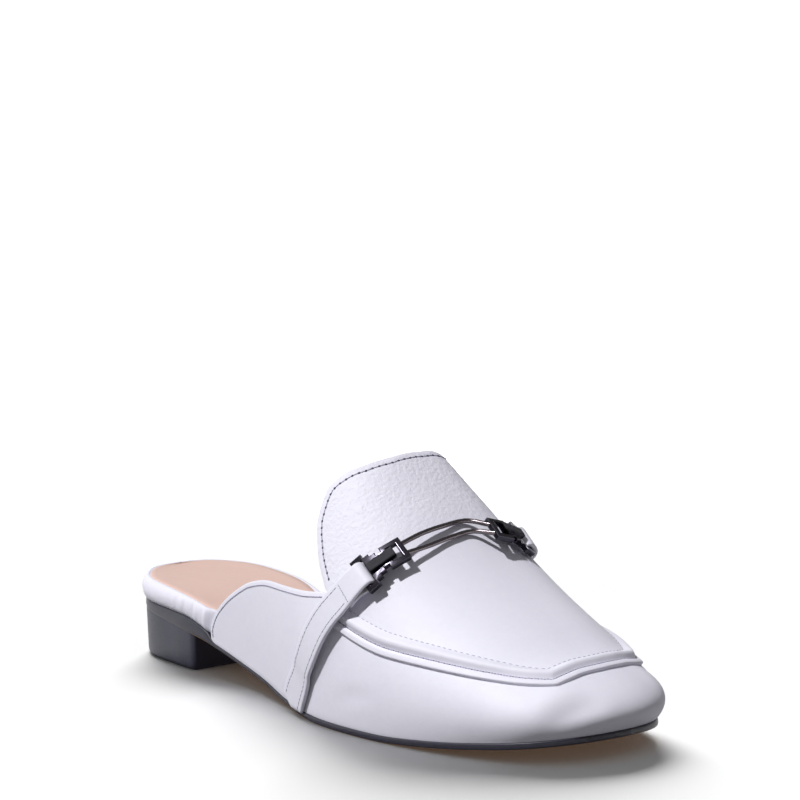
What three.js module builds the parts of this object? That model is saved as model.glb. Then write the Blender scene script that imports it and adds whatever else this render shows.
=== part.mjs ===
// Backless loafer mule for the right foot: square toe, low block heel, bit across the instep.
// Millimetres, +Z up, +X towards the toe, +Y towards the medial (inner) side of the foot.
// The upper is worked out from the sole outline, an instep ridge and rounded half sections.
import * as THREE from 'three';

// ---- Driving sizes -------------------------------------------------------------------------
const GAP = 0.3; // clearance between pieces that meet
const WALL = 2; // upper: leather, stiffener and lining together
const SOCK_THICKNESS = 2;
const HEEL_LENGTH = 58;
const HEEL_INSET = 0.1; // heel block inside the sole's outline
const HEEL_EDGE_RADIUS = 1.8;
const QUARTER_START = 70; // rear end of the quarters, from the heel back
const THROAT = 163; // where the quarters meet the tongue
const SPINE_END = 236; // front end of the instep ridge, where the toe's sections meet
const SPINE_BEND = 200; // ahead of this the sections turn round the toe
const UPPER_INSET = 0.4; // upper's bottom edge inside the sole's outline
const SOCK_INSET = 3.3; // insole inside the sole's outline, clear of the upper's wall
const SOCK_HEEL_INSET = 1.8;
const RAND_INSET = 0.2;
const RAND_PUFF = 1.8; // how far the wrapped edge swells past the sole
const STRAP_WIDTH = 11;
const STRAP_THICKNESS = 1.4;
const LINK_THICKNESS = 2.2;
const STRAP_FOOT_WIDTH = 16; // straps widen towards the sole
const LINK_BEND = 34; // radius that the links are bent to, over the instep
const ROD_RADIUS = 0.95;
const ROD_SPACING = 4.2; // between the two rods' middles at the links
const ROD_CLEARANCE = 0.9; // from a link to the middle of a rod's slanted end

const LATERAL = -1;
const MEDIAL = 1;
const SIDES = [LATERAL, MEDIAL];

// Sole outline seen from above, a row for each section from the heel to the toe.
const HEEL_BACK = { x: 0, y: 0 };
const TOE_TIP = { x: 262, y: 12 };
const SOLE_SECTIONS = [
  { x: 3.2, lateral: -14.5, medial: 14 },
  { x: 17, lateral: -25.2, medial: 24.8 },
  { x: 45, lateral: -28.5, medial: 28 },
  { x: 80, lateral: -27.5, medial: 25 },
  { x: 108, lateral: -29.2, medial: 24 },
  { x: 132, lateral: -34.6, medial: 26.5 },
  { x: 158, lateral: -40.2, medial: 32.2 },
  { x: 183, lateral: -40.1, medial: 38 },
  { x: 208, lateral: -35.9, medial: 40.7 },
  { x: 231, lateral: -28.8, medial: 40 },
  { x: 248.5, lateral: -19.6, medial: 35 },
  { x: 258.5, lateral: -6.3, medial: 25.5 },
];

// Underside of the outsole: heel seat, arch, flat tread and toe spring.
const SOLE_HEIGHT = [
  { x: 0, z: 20.5 },
  { x: 62, z: 13.7 },
  { x: 80, z: 9.9 },
  { x: 105, z: 5 },
  { x: 128, z: 1.9 },
  { x: 150, z: 0.3 },
  { x: 162, z: 0 },
  { x: 192, z: 0 },
  { x: 212, z: 1 },
  { x: 235, z: 3.2 },
  { x: 262, z: 6.8 },
];

// Thickness of the sole's edge: thick at the heel seat, thin in the waist.
const SOLE_THICKNESS = [
  { x: 0, thickness: 4.3 },
  { x: 52, thickness: 4.2 },
  { x: 64, thickness: 2.6 },
  { x: 71, thickness: 1.3 },
  { x: 130, thickness: 1.4 },
  { x: 160, thickness: 2.2 },
  { x: 262, thickness: 2.3 },
];

// Top of the sock, which the foot stands on.
const SOCK_HEIGHT = [
  { x: 0, z: 33 },
  { x: 50, z: 29 },
  { x: 80, z: 22.4 },
  { x: 105, z: 14.4 },
  { x: 128, z: 9 },
  { x: 150, z: 6.3 },
  { x: 165, z: 5.6 },
  { x: 192, z: 5.6 },
  { x: 212, z: 6.6 },
  { x: 235, z: 8.8 },
  { x: 262, z: 12.4 },
];

// Instep ridge: its height and its place across the foot.
const RIDGE = [
  { x: 60, y: 0, z: 128 },
  { x: 140, y: 7, z: 102 },
  { x: 157.5, y: 9, z: 90 },
  { x: 172, y: 10.5, z: 77 },
  { x: 186, y: 11.5, z: 64.5 },
  { x: 205, y: 12, z: 50 },
  { x: 225, y: 11.5, z: 38 },
  { x: 240, y: 10.5, z: 30.5 },
  { x: 252, y: 9.5, z: 27 },
  { x: 264, y: 9, z: 25 },
];

// Squareness of the half sections, and how far the leather bulges past the sole.
const SECTION_SHAPE = [
  { x: 60, lateral: 2.3, medial: 2.5, bulge: 0.3 },
  { x: 150, lateral: 2.35, medial: 3, bulge: 0.9 },
  { x: 190, lateral: 2.35, medial: 3, bulge: 1.4 },
  { x: 225, lateral: 2.45, medial: 3, bulge: 2.2 },
  { x: 262, lateral: 2.7, medial: 2.7, bulge: 3 },
];

// Top edge of the quarters, from their rear end to the throat.
const QUARTER_TOPLINE = [
  { x: 70, z: 19 },
  { x: 73, z: 24 },
  { x: 79, z: 29.5 },
  { x: 88, z: 35 },
  { x: 100, z: 40 },
  { x: 114, z: 42.4 },
  { x: 130, z: 43 },
  { x: 146, z: 43.8 },
  { x: 163, z: 45.6 },
];

// Free edge of the tongue, from the throat (climb 0) to its top on the ridge (climb 1).
const TONGUE_EDGE = [
  { climb: 0, x: 163 },
  { climb: 0.1, x: 153.5 },
  { climb: 0.22, x: 147.8 },
  { climb: 0.34, x: 147 },
  { climb: 0.5, x: 150.4 },
  { climb: 0.66, x: 154.6 },
  { climb: 0.83, x: 157 },
  { climb: 1, x: 157.5 },
];

// Side straps: the middle line of each, from the sole up to the bit, and its lift off the upper.
const STRAPS = {
  lateral: [
    { x: 141.5, rise: 0, lift: 0.3 },
    { x: 148.5, rise: 0.04, lift: 0.4 },
    { x: 154.7, rise: 0.093, lift: 1.2 },
    { x: 159.7, rise: 0.144, lift: 1.9 },
    { x: 165.5, rise: 0.221, lift: 2.6 },
    { x: 169.9, rise: 0.286, lift: 3.1 },
    { x: 173.3, rise: 0.343, lift: 3.4 },
    { x: 175.8, rise: 0.399, lift: 3.5 },
  ],
  medial: [
    { x: 147, rise: 0, lift: 0.3 },
    { x: 153, rise: 0.05, lift: 0.4 },
    { x: 160, rise: 0.13, lift: 1 },
    { x: 167, rise: 0.23, lift: 1.5 },
    { x: 174, rise: 0.35, lift: 1.9 },
    { x: 180, rise: 0.46, lift: 2.2 },
    { x: 184.5, rise: 0.56, lift: 2.4 },
    { x: 187.5, rise: 0.65, lift: 2.5 },
  ],
};

// Bit links: where the middles of the strap bar and of the square frame stand off the upper.
const LINKS = {
  lateral: {
    bar: { x: 178.5, rise: 0.469, lift: 4.5 },
    frame: { x: 182.6, rise: 0.61, lift: 5.3 },
  },
  medial: {
    bar: { x: 190.5, rise: 0.78, lift: 3.2 },
    frame: { x: 190.5, rise: 0.96, lift: 5.6 },
  },
};

// Link outline from the strap bar to the square frame, a row for each step.
const LINK_STEPS = [
  { from: -2, to: 2.8, half: 7 },
  { from: 2.8, to: 4.8, half: 5.2 },
  { from: 4.8, to: 6.8, half: 4.1 },
  { from: 6.8, to: 8.6, half: 2.9 },
  { from: 8.6, to: 16.2, half: 4.7 },
];
const STRAP_SLOT = { from: 0.1, to: 1.9, half: 5.1 };
const FRAME_WINDOW = { from: 10.5, to: 14.2, half: 2.8 };
const LINK_MIDDLE = 6.2;

// Rods between the links, over the lateral side of the ridge.
const RODS = {
  front: [
    { x: 186.8, rise: 0.747, lift: 3 },
    { x: 187.1, rise: 0.878, lift: 1.8 },
    { x: 187.3, rise: 0.962, lift: 2.1 },
  ],
  rear: [
    { x: 182.7, rise: 0.754, lift: 3.5 },
    { x: 183.2, rise: 0.86, lift: 2.4 },
    { x: 183.4, rise: 0.971, lift: 2 },
  ],
};

// ---- Small tools ---------------------------------------------------------------------------

/** Monotone cubic through one column of a table; constant beyond its ends. */
function smoothColumn(rows, xKey, yKey) {
  const x = rows.map((row) => row[xKey]);
  const y = rows.map((row) => row[yKey]);
  const last = x.length - 1;
  const slope = x.slice(1).map((value, i) => (y[i + 1] - y[i]) / (value - x[i]));
  const tangent = x.map((_, i) => {
    if (i === 0) return slope[0];
    if (i === last) return slope[last - 1];
    if (slope[i - 1] * slope[i] <= 0) return 0;
    const before = x[i] - x[i - 1];
    const after = x[i + 1] - x[i];
    const a = 2 * after + before;
    const b = after + 2 * before;
    return (a + b) / (a / slope[i - 1] + b / slope[i]);
  });
  return (at) => {
    if (at <= x[0]) return y[0];
    if (at >= x[last]) return y[last];
    let i = 0;
    while (at > x[i + 1]) i += 1;
    const h = x[i + 1] - x[i];
    const t = (at - x[i]) / h;
    const rise = y[i + 1] - y[i];
    const bend = h * (tangent[i] + tangent[i + 1]) - 2 * rise;
    return y[i] + t * (h * tangent[i] + t * (rise - h * tangent[i] - bend + t * bend));
  };
}

/** Straight change from a to b between two distances along the foot. */
function blend(x, from, to, a, b) {
  return THREE.MathUtils.lerp(a, b, THREE.MathUtils.clamp((x - from) / (to - from), 0, 1));
}

const soleHeight = smoothColumn(SOLE_HEIGHT, 'x', 'z');
const soleThickness = smoothColumn(SOLE_THICKNESS, 'x', 'thickness');
const soleTop = (x) => soleHeight(x) + soleThickness(x);
const sockHeight = smoothColumn(SOCK_HEIGHT, 'x', 'z');
const ridgeHeight = smoothColumn(RIDGE, 'x', 'z');
const ridgeAcross = smoothColumn(RIDGE, 'x', 'y');
const bulgeAt = smoothColumn(SECTION_SHAPE, 'x', 'bulge');
const squareness = {
  [LATERAL]: smoothColumn(SECTION_SHAPE, 'x', 'lateral'),
  [MEDIAL]: smoothColumn(SECTION_SHAPE, 'x', 'medial'),
};

// ---- Sole outline --------------------------------------------------------------------------
const OUTLINE_STEPS = 24; // samples in each span of the outline

const outlineCurve = new THREE.CatmullRomCurve3(
  [
    new THREE.Vector3(HEEL_BACK.x, HEEL_BACK.y, 0),
    ...SOLE_SECTIONS.map((row) => new THREE.Vector3(row.x, row.lateral, 0)),
    new THREE.Vector3(TOE_TIP.x, TOE_TIP.y, 0),
    ...SOLE_SECTIONS.toReversed().map((row) => new THREE.Vector3(row.x, row.medial, 0)),
  ],
  true,
  'centripetal',
);

/** Outline samples with outward normals, split into the lateral and the medial branch. */
function outlineBranches() {
  const count = outlineCurve.points.length * OUTLINE_STEPS;
  const points = outlineCurve.getPoints(count).slice(0, count);
  const samples = points.map((point, i) => {
    const ahead = points[(i + 1) % count];
    const behind = points[(i + count - 1) % count];
    const tangent = ahead.clone().sub(behind).normalize();
    return { x: point.x, y: point.y, nx: tangent.y, ny: -tangent.x };
  });
  const tip = samples.reduce((best, sample, i) => (sample.x > samples[best].x ? i : best), 0);
  return {
    [LATERAL]: samples.slice(0, tip + 1),
    [MEDIAL]: [samples[0], ...samples.slice(tip).toReversed()],
    tip: samples[tip].x,
  };
}

const branches = outlineBranches();
const TIP = branches.tip;

/** Point and outward normal of a branch, moved in by an inset, at a distance along the foot. */
function outlineAt(side, x, inset = 0) {
  const rows = branches[side];
  const place = (row) => ({ x: row.x - row.nx * inset, y: row.y - row.ny * inset });
  let i = 0;
  while (i < rows.length - 2 && place(rows[i + 1]).x < x) i += 1;
  const a = place(rows[i]);
  const b = place(rows[i + 1]);
  const t = THREE.MathUtils.clamp((x - a.x) / (b.x - a.x || 1), 0, 1);
  const mix = (p, q) => p + (q - p) * t;
  return {
    y: mix(a.y, b.y),
    nx: mix(rows[i].nx, rows[i + 1].nx),
    ny: mix(rows[i].ny, rows[i + 1].ny),
  };
}

// ---- Upper's surface -----------------------------------------------------------------------
const DIFFERENCE = 0.004; // step in column and rise for the surface's slopes

// A place on it is a side, a column u (0 at the throat, 1 at the toe tip, negative behind the
// throat) and a rise from 0 at the sole to 1 on the ridge. Past 1 either goes to the other side.
const columnX = (u) => TIP - (TIP - THROAT) * (1 - u) ** 2;
const columnAt = (x) => 1 - Math.sqrt((TIP - x) / (TIP - THROAT));

/** Distance along the ridge that a section meets it at. */
function spineX(x) {
  if (x < SPINE_BEND) return x;
  const reach = (TIP - SPINE_BEND) / (SPINE_END - SPINE_BEND);
  return SPINE_BEND + (SPINE_END - SPINE_BEND) * (1 - (1 - (x - SPINE_BEND) / (TIP - SPINE_BEND)) ** reach);
}

function surfacePoint(side, u, rise) {
  if (u > 1) return surfacePoint(-side, 2 - u, rise);
  if (rise > 1) return surfacePoint(-side, u, 2 - rise);
  const x = columnX(u);
  const edge = outlineAt(side, x);
  const foot = new THREE.Vector2(x - edge.nx * UPPER_INSET, edge.y - edge.ny * UPPER_INSET);
  const spine = spineX(x);
  const ridge = new THREE.Vector2(spine, ridgeAcross(spine));
  const power = 2 / squareness[side](x);
  const angle = (rise * Math.PI) / 2;
  const outward = Math.abs(Math.cos(angle)) ** power;
  const upward = Math.abs(Math.sin(angle)) ** power;
  const bulge = bulgeAt(x) * Math.sin(Math.PI * upward ** 0.9) * outward;
  const plan = ridge.clone().lerp(foot, outward);
  plan.x += edge.nx * bulge;
  plan.y += edge.ny * bulge;
  const bottom = soleTop(x) + GAP;
  return new THREE.Vector3(plan.x, plan.y, bottom + (ridgeHeight(plan.x) - bottom) * upward);
}

function surfaceNormal(side, u, rise) {
  const step = DIFFERENCE;
  const low = Math.max(rise - step, 0);
  const along = surfacePoint(side, u + step, rise).sub(surfacePoint(side, u - step, rise));
  const up = surfacePoint(side, u, rise + step).sub(surfacePoint(side, u, low));
  return along.cross(up).multiplyScalar(-side).normalize();
}

/** Point a distance outside (or, when negative, inside) the upper's outer surface. */
function offsetPoint(side, u, rise, distance) {
  const point = surfacePoint(side, u, rise);
  return point.addScaledVector(surfaceNormal(side, u, rise), distance);
}

/** Rise at which a column reaches a height. */
function riseAtHeight(side, u, z) {
  let low = 0;
  let high = 1;
  for (let i = 0; i < 40; i += 1) {
    const middle = (low + high) / 2;
    if (surfacePoint(side, u, middle).z < z) low = middle;
    else high = middle;
  }
  return (low + high) / 2;
}

// ---- Solids from sheets --------------------------------------------------------------------

/**
 * Closed solid from patches of { outer, inner } points. Patches share their border points, and
 * free borders are closed by a rim, whose rows between outer and inner the rim function gives.
 */
function sheetSolid(patches, rim = () => []) {
  const index = new Map();
  const outer = [];
  const inner = [];
  const indexOf = ({ outer: top, inner: bottom }) => {
    const key = [top.x, top.y, top.z].map((value) => Math.round(value * 1000)).join();
    if (!index.has(key)) {
      index.set(key, outer.length);
      outer.push(top);
      inner.push(bottom);
    }
    return index.get(key);
  };
  const triangles = [];
  const addTriangle = (a, b, c) => {
    if (a !== b && b !== c && c !== a) triangles.push([a, b, c]);
  };
  for (const { rows, flipped } of patches) {
    const ids = rows.map((row) => row.map(indexOf));
    for (let i = 0; i + 1 < ids.length; i += 1) {
      for (let j = 0; j + 1 < ids[i].length; j += 1) {
        const quad = [ids[i][j], ids[i + 1][j], ids[i + 1][j + 1], ids[i][j + 1]];
        if (flipped) quad.reverse();
        addTriangle(quad[0], quad[1], quad[2]);
        addTriangle(quad[0], quad[2], quad[3]);
      }
    }
  }

  const levels = outer.map((point, i) => [point, ...rim(point, inner[i]), inner[i]]);
  const points = levels.flat();
  const depth = levels[0].length;
  const at = (vertex, level) => vertex * depth + level;
  const faces = [];
  const edges = new Map();
  for (const [a, b, c] of triangles) {
    faces.push(at(a, 0), at(b, 0), at(c, 0), at(c, depth - 1), at(b, depth - 1), at(a, depth - 1));
    for (const [from, to] of [[a, b], [b, c], [c, a]]) edges.set(`${from} ${to}`, [from, to]);
  }
  for (const [from, to] of edges.values()) {
    if (edges.has(`${to} ${from}`)) continue;
    for (let level = 0; level + 1 < depth; level += 1) {
      const quad = [at(to, level), at(from, level), at(from, level + 1), at(to, level + 1)];
      faces.push(quad[0], quad[1], quad[2], quad[0], quad[2], quad[3]);
    }
  }
  const geometry = new THREE.BufferGeometry().setFromPoints(points);
  geometry.setIndex(faces);
  return geometry;
}

/** Patch with a row for each station and a column for each step. */
function patch(stations, steps, pointAt, flipped = false) {
  const fractions = (count) => Array.from({ length: count + 1 }, (_, i) => i / count);
  return { rows: fractions(stations).map((s) => fractions(steps).map((t) => pointAt(s, t))), flipped };
}

/** Plan-shaped layer: station s runs from the back to the front, step t across the foot. */
function layer({ from, to, stations, steps = 4, inset, top, bottom, rim }) {
  const eased = (s) => (1 - Math.cos(Math.PI * s)) / 2;
  const rows = patch(stations, steps, (s, t) => {
    const x = from + (to - from) * eased(s);
    const lateral = outlineAt(LATERAL, x, inset(x)).y;
    const medial = outlineAt(MEDIAL, x, inset(x)).y;
    const y = lateral + (medial - lateral) * t;
    return { outer: new THREE.Vector3(x, y, top(x)), inner: new THREE.Vector3(x, y, bottom(x)) };
  });
  return sheetSolid([rows], rim);
}

// ---- Sole, heel, insole --------------------------------------------------------------------
const sockBottom = (x) => sockHeight(x) - SOCK_THICKNESS;

function buildOutsole() {
  return layer({
    from: 0,
    to: TIP,
    stations: 56,
    inset: () => 0,
    top: soleTop,
    bottom: soleHeight,
  });
}

const HEEL_HALF_WIDTH = 27;
const HEEL_STATIONS = 20;

/** Tread point under a point of the heel's plan, drawn in by the edge radius. */
function heelTread(point) {
  const half = new THREE.Vector2(HEEL_LENGTH / 2, HEEL_HALF_WIDTH);
  const x = half.x + (point.x - half.x) * (1 - HEEL_EDGE_RADIUS / half.x);
  return new THREE.Vector3(x, point.y * (1 - HEEL_EDGE_RADIUS / half.y), 0);
}

/** Rows that round the heel's lower edge. */
function heelEdge(outer, inner) {
  return [0, 30, 60].map((degrees) => {
    const turn = THREE.MathUtils.degToRad(degrees);
    const point = inner.clone().lerp(outer, Math.cos(turn));
    point.z = HEEL_EDGE_RADIUS * (1 - Math.sin(turn));
    return point;
  });
}

function buildHeelBlock() {
  const rows = patch(HEEL_STATIONS, 4, (s, t) => {
    const x = HEEL_INSET + (HEEL_LENGTH - HEEL_INSET) * (1 - Math.cos((Math.PI / 2) * s));
    const lateral = outlineAt(LATERAL, x, HEEL_INSET).y;
    const medial = outlineAt(MEDIAL, x, HEEL_INSET).y;
    const outer = new THREE.Vector3(x, lateral + (medial - lateral) * t, soleHeight(x) - GAP);
    return { outer, inner: heelTread(outer) };
  });
  return sheetSolid([rows], heelEdge);
}

function buildInsole() {
  const inset = (x) => blend(x, QUARTER_START - 10, QUARTER_START, SOCK_HEEL_INSET, SOCK_INSET);
  return layer({
    from: SOCK_HEEL_INSET,
    to: TIP - SOCK_INSET,
    stations: 48,
    inset,
    top: sockHeight,
    bottom: sockBottom,
  });
}

const RAND_FLAT = 62; // ahead of this the wrapped edge goes in under the quarters
const RAND_FRONT = 146; // where its core thins out under the arch

/** Rows that puff the rand's edge out round the heel; flat where the quarters cover it. */
function puffed(top, bottom) {
  const edge = outlineAt(top.y < 0 ? LATERAL : MEDIAL, top.x);
  const size = RAND_PUFF * (1 - THREE.MathUtils.smoothstep(top.x, RAND_FLAT - 10, RAND_FLAT));
  return [0.2, 0.5, 0.8].map((t) => {
    const point = top.clone().lerp(bottom, t);
    const swell = size * Math.sin(Math.PI * t);
    return point.add(new THREE.Vector3(edge.nx * swell, edge.ny * swell, 0));
  });
}

function buildHeelRand() {
  const inset = (x) => blend(x, RAND_FLAT - 1, RAND_FLAT + 4, RAND_INSET, SOCK_INSET + GAP);
  return layer({
    from: RAND_INSET,
    to: RAND_FRONT,
    stations: 40,
    inset,
    top: (x) => sockBottom(x) - GAP,
    bottom: (x) => soleTop(x) + GAP,
    rim: puffed,
  });
}

// ---- Upper ---------------------------------------------------------------------------------
const QUARTER_COLUMNS = 12;
const VAMP_COLUMNS = 22;
const TONGUE_COLUMNS = 4;
const LOW_ROWS = 6; // from the sole to the throat's height
const HIGH_ROWS = 10; // from there to the ridge

const toplineHeight = smoothColumn(QUARTER_TOPLINE, 'x', 'z');
const tongueX = smoothColumn(TONGUE_EDGE, 'climb', 'x');

/** Outer and inner point of the upper's wall; the bottom edge is level. */
function wallPoint(side, u, rise) {
  const outer = surfacePoint(side, u, rise);
  const inner = offsetPoint(side, u, rise, -WALL);
  if (rise === 0) inner.z = outer.z;
  return { outer, inner };
}

/** Rise of the row that starts at the throat; both sides meet at one rise at the toe tip. */
function splitRise(side, u) {
  const atThroat = (which) => riseAtHeight(which, 0, toplineHeight(THROAT));
  const shared = (atThroat(LATERAL) + atThroat(MEDIAL)) / 2;
  return THREE.MathUtils.lerp(atThroat(side), shared, Math.max(u, 0));
}

function buildUpper() {
  const patches = SIDES.flatMap((side) => {
    const flipped = side === MEDIAL;
    const rearColumn = columnAt(QUARTER_START);
    const high = (u, climb) => THREE.MathUtils.lerp(splitRise(side, u), 1, climb);
    const quarter = patch(QUARTER_COLUMNS, LOW_ROWS, (s, t) => {
      const u = rearColumn * (1 - s);
      const top = s === 1 ? splitRise(side, 0) : riseAtHeight(side, u, toplineHeight(columnX(u)));
      return wallPoint(side, u, top * t);
    }, flipped);
    const lowPoint = (u, t) => wallPoint(side, u, splitRise(side, u) * t);
    const highPoint = (u, t) => wallPoint(side, u, high(u, t));
    const vampLow = patch(VAMP_COLUMNS, LOW_ROWS, lowPoint, flipped);
    const vampHigh = patch(VAMP_COLUMNS, HIGH_ROWS, highPoint, flipped);
    const tongue = patch(TONGUE_COLUMNS, HIGH_ROWS, (s, t) => {
      return wallPoint(side, columnAt(tongueX(t)) * (1 - s), high(0, t));
    }, flipped);
    return [quarter, vampLow, vampHigh, tongue];
  });
  return sheetSolid(patches);
}

// ---- Straps --------------------------------------------------------------------------------

/** Point beside a place on the upper: w across a strap that runs in a direction, at a lift. */
function besidePoint(side, u, rise, direction, w, lift) {
  const step = DIFFERENCE;
  const low = Math.max(rise - step, 0);
  const alongU = surfacePoint(side, u + step, rise)
    .sub(surfacePoint(side, u - step, rise))
    .divideScalar(2 * step);
  const alongRise = surfacePoint(side, u, rise + step)
    .sub(surfacePoint(side, u, low))
    .divideScalar(rise + step - low);
  const across = surfaceNormal(side, u, rise).cross(direction).normalize().multiplyScalar(w);
  const uu = alongU.dot(alongU);
  const ur = alongU.dot(alongRise);
  const rr = alongRise.dot(alongRise);
  const determinant = uu * rr - ur * ur;
  const du = (across.dot(alongU) * rr - across.dot(alongRise) * ur) / determinant;
  const dr = (across.dot(alongRise) * uu - across.dot(alongU) * ur) / determinant;
  return offsetPoint(side, u + du, Math.max(rise + dr, 0), lift);
}

const STRAP_STATIONS = 18;
const FOOT_SHARE = 0.4; // share of the strap's length that the widening takes

function buildStrap(side, route) {
  const path = new THREE.CatmullRomCurve3(
    route.map(({ x, rise, lift }) => new THREE.Vector3(columnAt(x), rise, lift)),
    false,
    'centripetal',
  );
  const placeAt = (s) => path.getPoint(THREE.MathUtils.clamp(s, 0, 1));
  return sheetSolid([
    patch(STRAP_STATIONS, 2, (s, t) => {
      const { x: u, y: rise, z: lift } = placeAt(s);
      const [ahead, behind] = [placeAt(s + 0.01), placeAt(s - 0.01)];
      const direction = surfacePoint(side, ahead.x, ahead.y).sub(surfacePoint(side, behind.x, behind.y));
      const width = blend(s, 0, FOOT_SHARE, STRAP_FOOT_WIDTH, STRAP_WIDTH);
      const point = (height) => besidePoint(side, u, rise, direction, width * (t - 0.5), height);
      return { outer: point(lift + STRAP_THICKNESS), inner: point(lift) };
    }),
  ]);
}

// ---- Bit -----------------------------------------------------------------------------------

/** Frame of a link: x from the strap bar to the square frame, z away from the upper. */
function linkFrame(side, { bar, frame }) {
  const stand = ({ x, rise, lift }) => offsetPoint(side, columnAt(x), rise, lift);
  const normal = ({ x, rise }) => surfaceNormal(side, columnAt(x), rise);
  const origin = stand(bar);
  const along = stand(frame).sub(origin).normalize();
  const across = normal(bar).add(normal(frame)).cross(along).normalize();
  return new THREE.Matrix4().makeBasis(along, across, along.clone().cross(across)).setPosition(origin);
}

/** Bends a point of a flat link over the instep. */
function bend({ x, y, z }) {
  const turn = (x - LINK_MIDDLE) / LINK_BEND;
  const radius = LINK_BEND + z;
  return new THREE.Vector3(LINK_MIDDLE + radius * Math.sin(turn), y, radius * Math.cos(turn) - LINK_BEND);
}

function rectangle(Kind, { from, to, half }) {
  const path = new Kind();
  path.moveTo(from, -half);
  path.lineTo(to, -half);
  path.lineTo(to, half);
  path.lineTo(from, half);
  path.closePath();
  return path;
}

function buildLink() {
  const outline = new THREE.Shape();
  const edge = LINK_STEPS.flatMap(({ from, to, half }) => [[from, half], [to, half]]);
  const points = [...edge.map(([x, y]) => [x, -y]), ...edge.toReversed()];
  outline.setFromPoints(points.map(([x, y]) => new THREE.Vector2(x, y)));
  outline.holes.push(rectangle(THREE.Path, STRAP_SLOT), rectangle(THREE.Path, FRAME_WINDOW));
  const plate = new THREE.ExtrudeGeometry(outline, { depth: LINK_THICKNESS, bevelEnabled: false });
  plate.translate(0, 0, -LINK_THICKNESS / 2);
  const { position } = plate.attributes;
  for (let i = 0; i < position.count; i += 1) {
    const { x, y, z } = bend(new THREE.Vector3().fromBufferAttribute(position, i));
    position.setXYZ(i, x, y, z);
  }
  return plate;
}

/** Slim rod from one link to the other, over places on the lateral side of the ridge. */
function buildRod(frames, place, route) {
  const end = (name, across) =>
    bend({ x: LINK_STEPS.at(-1).to + ROD_CLEARANCE, y: (across * ROD_SPACING) / 2, z: 0 }).applyMatrix4(
      frames[name],
    );
  const path = new THREE.CatmullRomCurve3(
    [
      end('lateral', place),
      ...route.map(({ x, rise, lift }) => offsetPoint(LATERAL, columnAt(x), rise, lift)),
      end('medial', -place),
    ],
    false,
    'centripetal',
  );
  const section = new THREE.Shape();
  section.absarc(0, 0, ROD_RADIUS, 0, 2 * Math.PI);
  return new THREE.ExtrudeGeometry(section, { steps: 24, curveSegments: 10, extrudePath: path });
}

// ---- Parts ---------------------------------------------------------------------------------
const whiteLeather = { color: 0xe6e5ee, roughness: 0.45, metalness: 0 };
const tanLeather = { color: 0xd0a58c, roughness: 0.6, metalness: 0 };
const blackSole = { color: 0x16161a, roughness: 0.4, metalness: 0 };
const gunmetal = { color: 0x3a3a40, roughness: 0.22, metalness: 1 };

const shoe = new THREE.Group();

function addPart(name, geometry, look) {
  const mesh = new THREE.Mesh(geometry, new THREE.MeshStandardMaterial(look));
  mesh.name = name;
  shoe.add(mesh);
  return mesh;
}

addPart('outsole', buildOutsole(), blackSole);
addPart('heel_block', buildHeelBlock(), blackSole);
addPart('insole', buildInsole(), tanLeather);
addPart('heel_rand', buildHeelRand(), whiteLeather);
addPart('upper', buildUpper(), whiteLeather);

const linkFrames = {};
for (const [name, side] of [['lateral', LATERAL], ['medial', MEDIAL]]) {
  addPart(`strap_${name}`, buildStrap(side, STRAPS[name]), whiteLeather);
  linkFrames[name] = linkFrame(side, LINKS[name]);
  addPart(`link_${name}`, buildLink(), gunmetal).applyMatrix4(linkFrames[name]);
}
addPart('bit_bar_front', buildRod(linkFrames, -1, RODS.front), gunmetal);
addPart('bit_bar_rear', buildRod(linkFrames, 1, RODS.rear), gunmetal);

// The origin is under the middle of the whole shoe, on the floor.
const bounds = new THREE.Box3().setFromObject(shoe);
const middle = bounds.getCenter(new THREE.Vector3());
shoe.position.set(-middle.x, -middle.y, -bounds.min.z);

const part = new THREE.Group();
part.add(shoe);

export default part;
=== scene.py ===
"""Right-foot loafer mule in white leather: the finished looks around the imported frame.

Shapes are worked out in millimetres on the shoe's own last (toe +X, medial side +Y, heel back at
x = 0) and are placed in the row frame, in metres, when a mesh is made.
"""

import logging
import math
from dataclasses import dataclass, field
from enum import IntEnum
from typing import Callable, NamedTuple, Sequence

import bpy
import bmesh
import numpy as np
from mathutils import Matrix, Vector

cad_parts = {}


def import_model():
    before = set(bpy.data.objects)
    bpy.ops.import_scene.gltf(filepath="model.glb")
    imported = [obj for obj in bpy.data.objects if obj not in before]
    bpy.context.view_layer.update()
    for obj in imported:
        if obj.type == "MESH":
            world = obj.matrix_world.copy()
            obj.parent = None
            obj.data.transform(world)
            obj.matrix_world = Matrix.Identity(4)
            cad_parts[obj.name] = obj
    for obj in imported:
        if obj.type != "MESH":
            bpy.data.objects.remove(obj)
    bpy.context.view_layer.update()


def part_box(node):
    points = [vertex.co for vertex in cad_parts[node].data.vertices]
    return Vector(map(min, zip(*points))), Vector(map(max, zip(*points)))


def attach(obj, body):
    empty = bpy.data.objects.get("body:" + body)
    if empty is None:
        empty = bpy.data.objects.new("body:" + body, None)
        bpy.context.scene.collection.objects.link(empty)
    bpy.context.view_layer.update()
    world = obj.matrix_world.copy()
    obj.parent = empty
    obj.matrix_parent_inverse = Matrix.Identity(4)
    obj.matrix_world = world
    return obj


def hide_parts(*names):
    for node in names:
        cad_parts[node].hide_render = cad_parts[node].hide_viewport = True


LOG = logging.getLogger("mule")
MM = 0.001
BODY = "root"
Array = np.ndarray


class Side(IntEnum):
    """The two sides of the foot; the value is the sign of Y."""

    LATERAL = -1
    MEDIAL = 1


# ---- The last -------------------------------------------------------------------------------
class SoleSection(NamedTuple):
    """One section of the sole's outline, seen from above."""

    x: float
    lateral: float
    medial: float


class Height(NamedTuple):
    """A height at a distance along the foot."""

    x: float
    z: float


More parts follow.
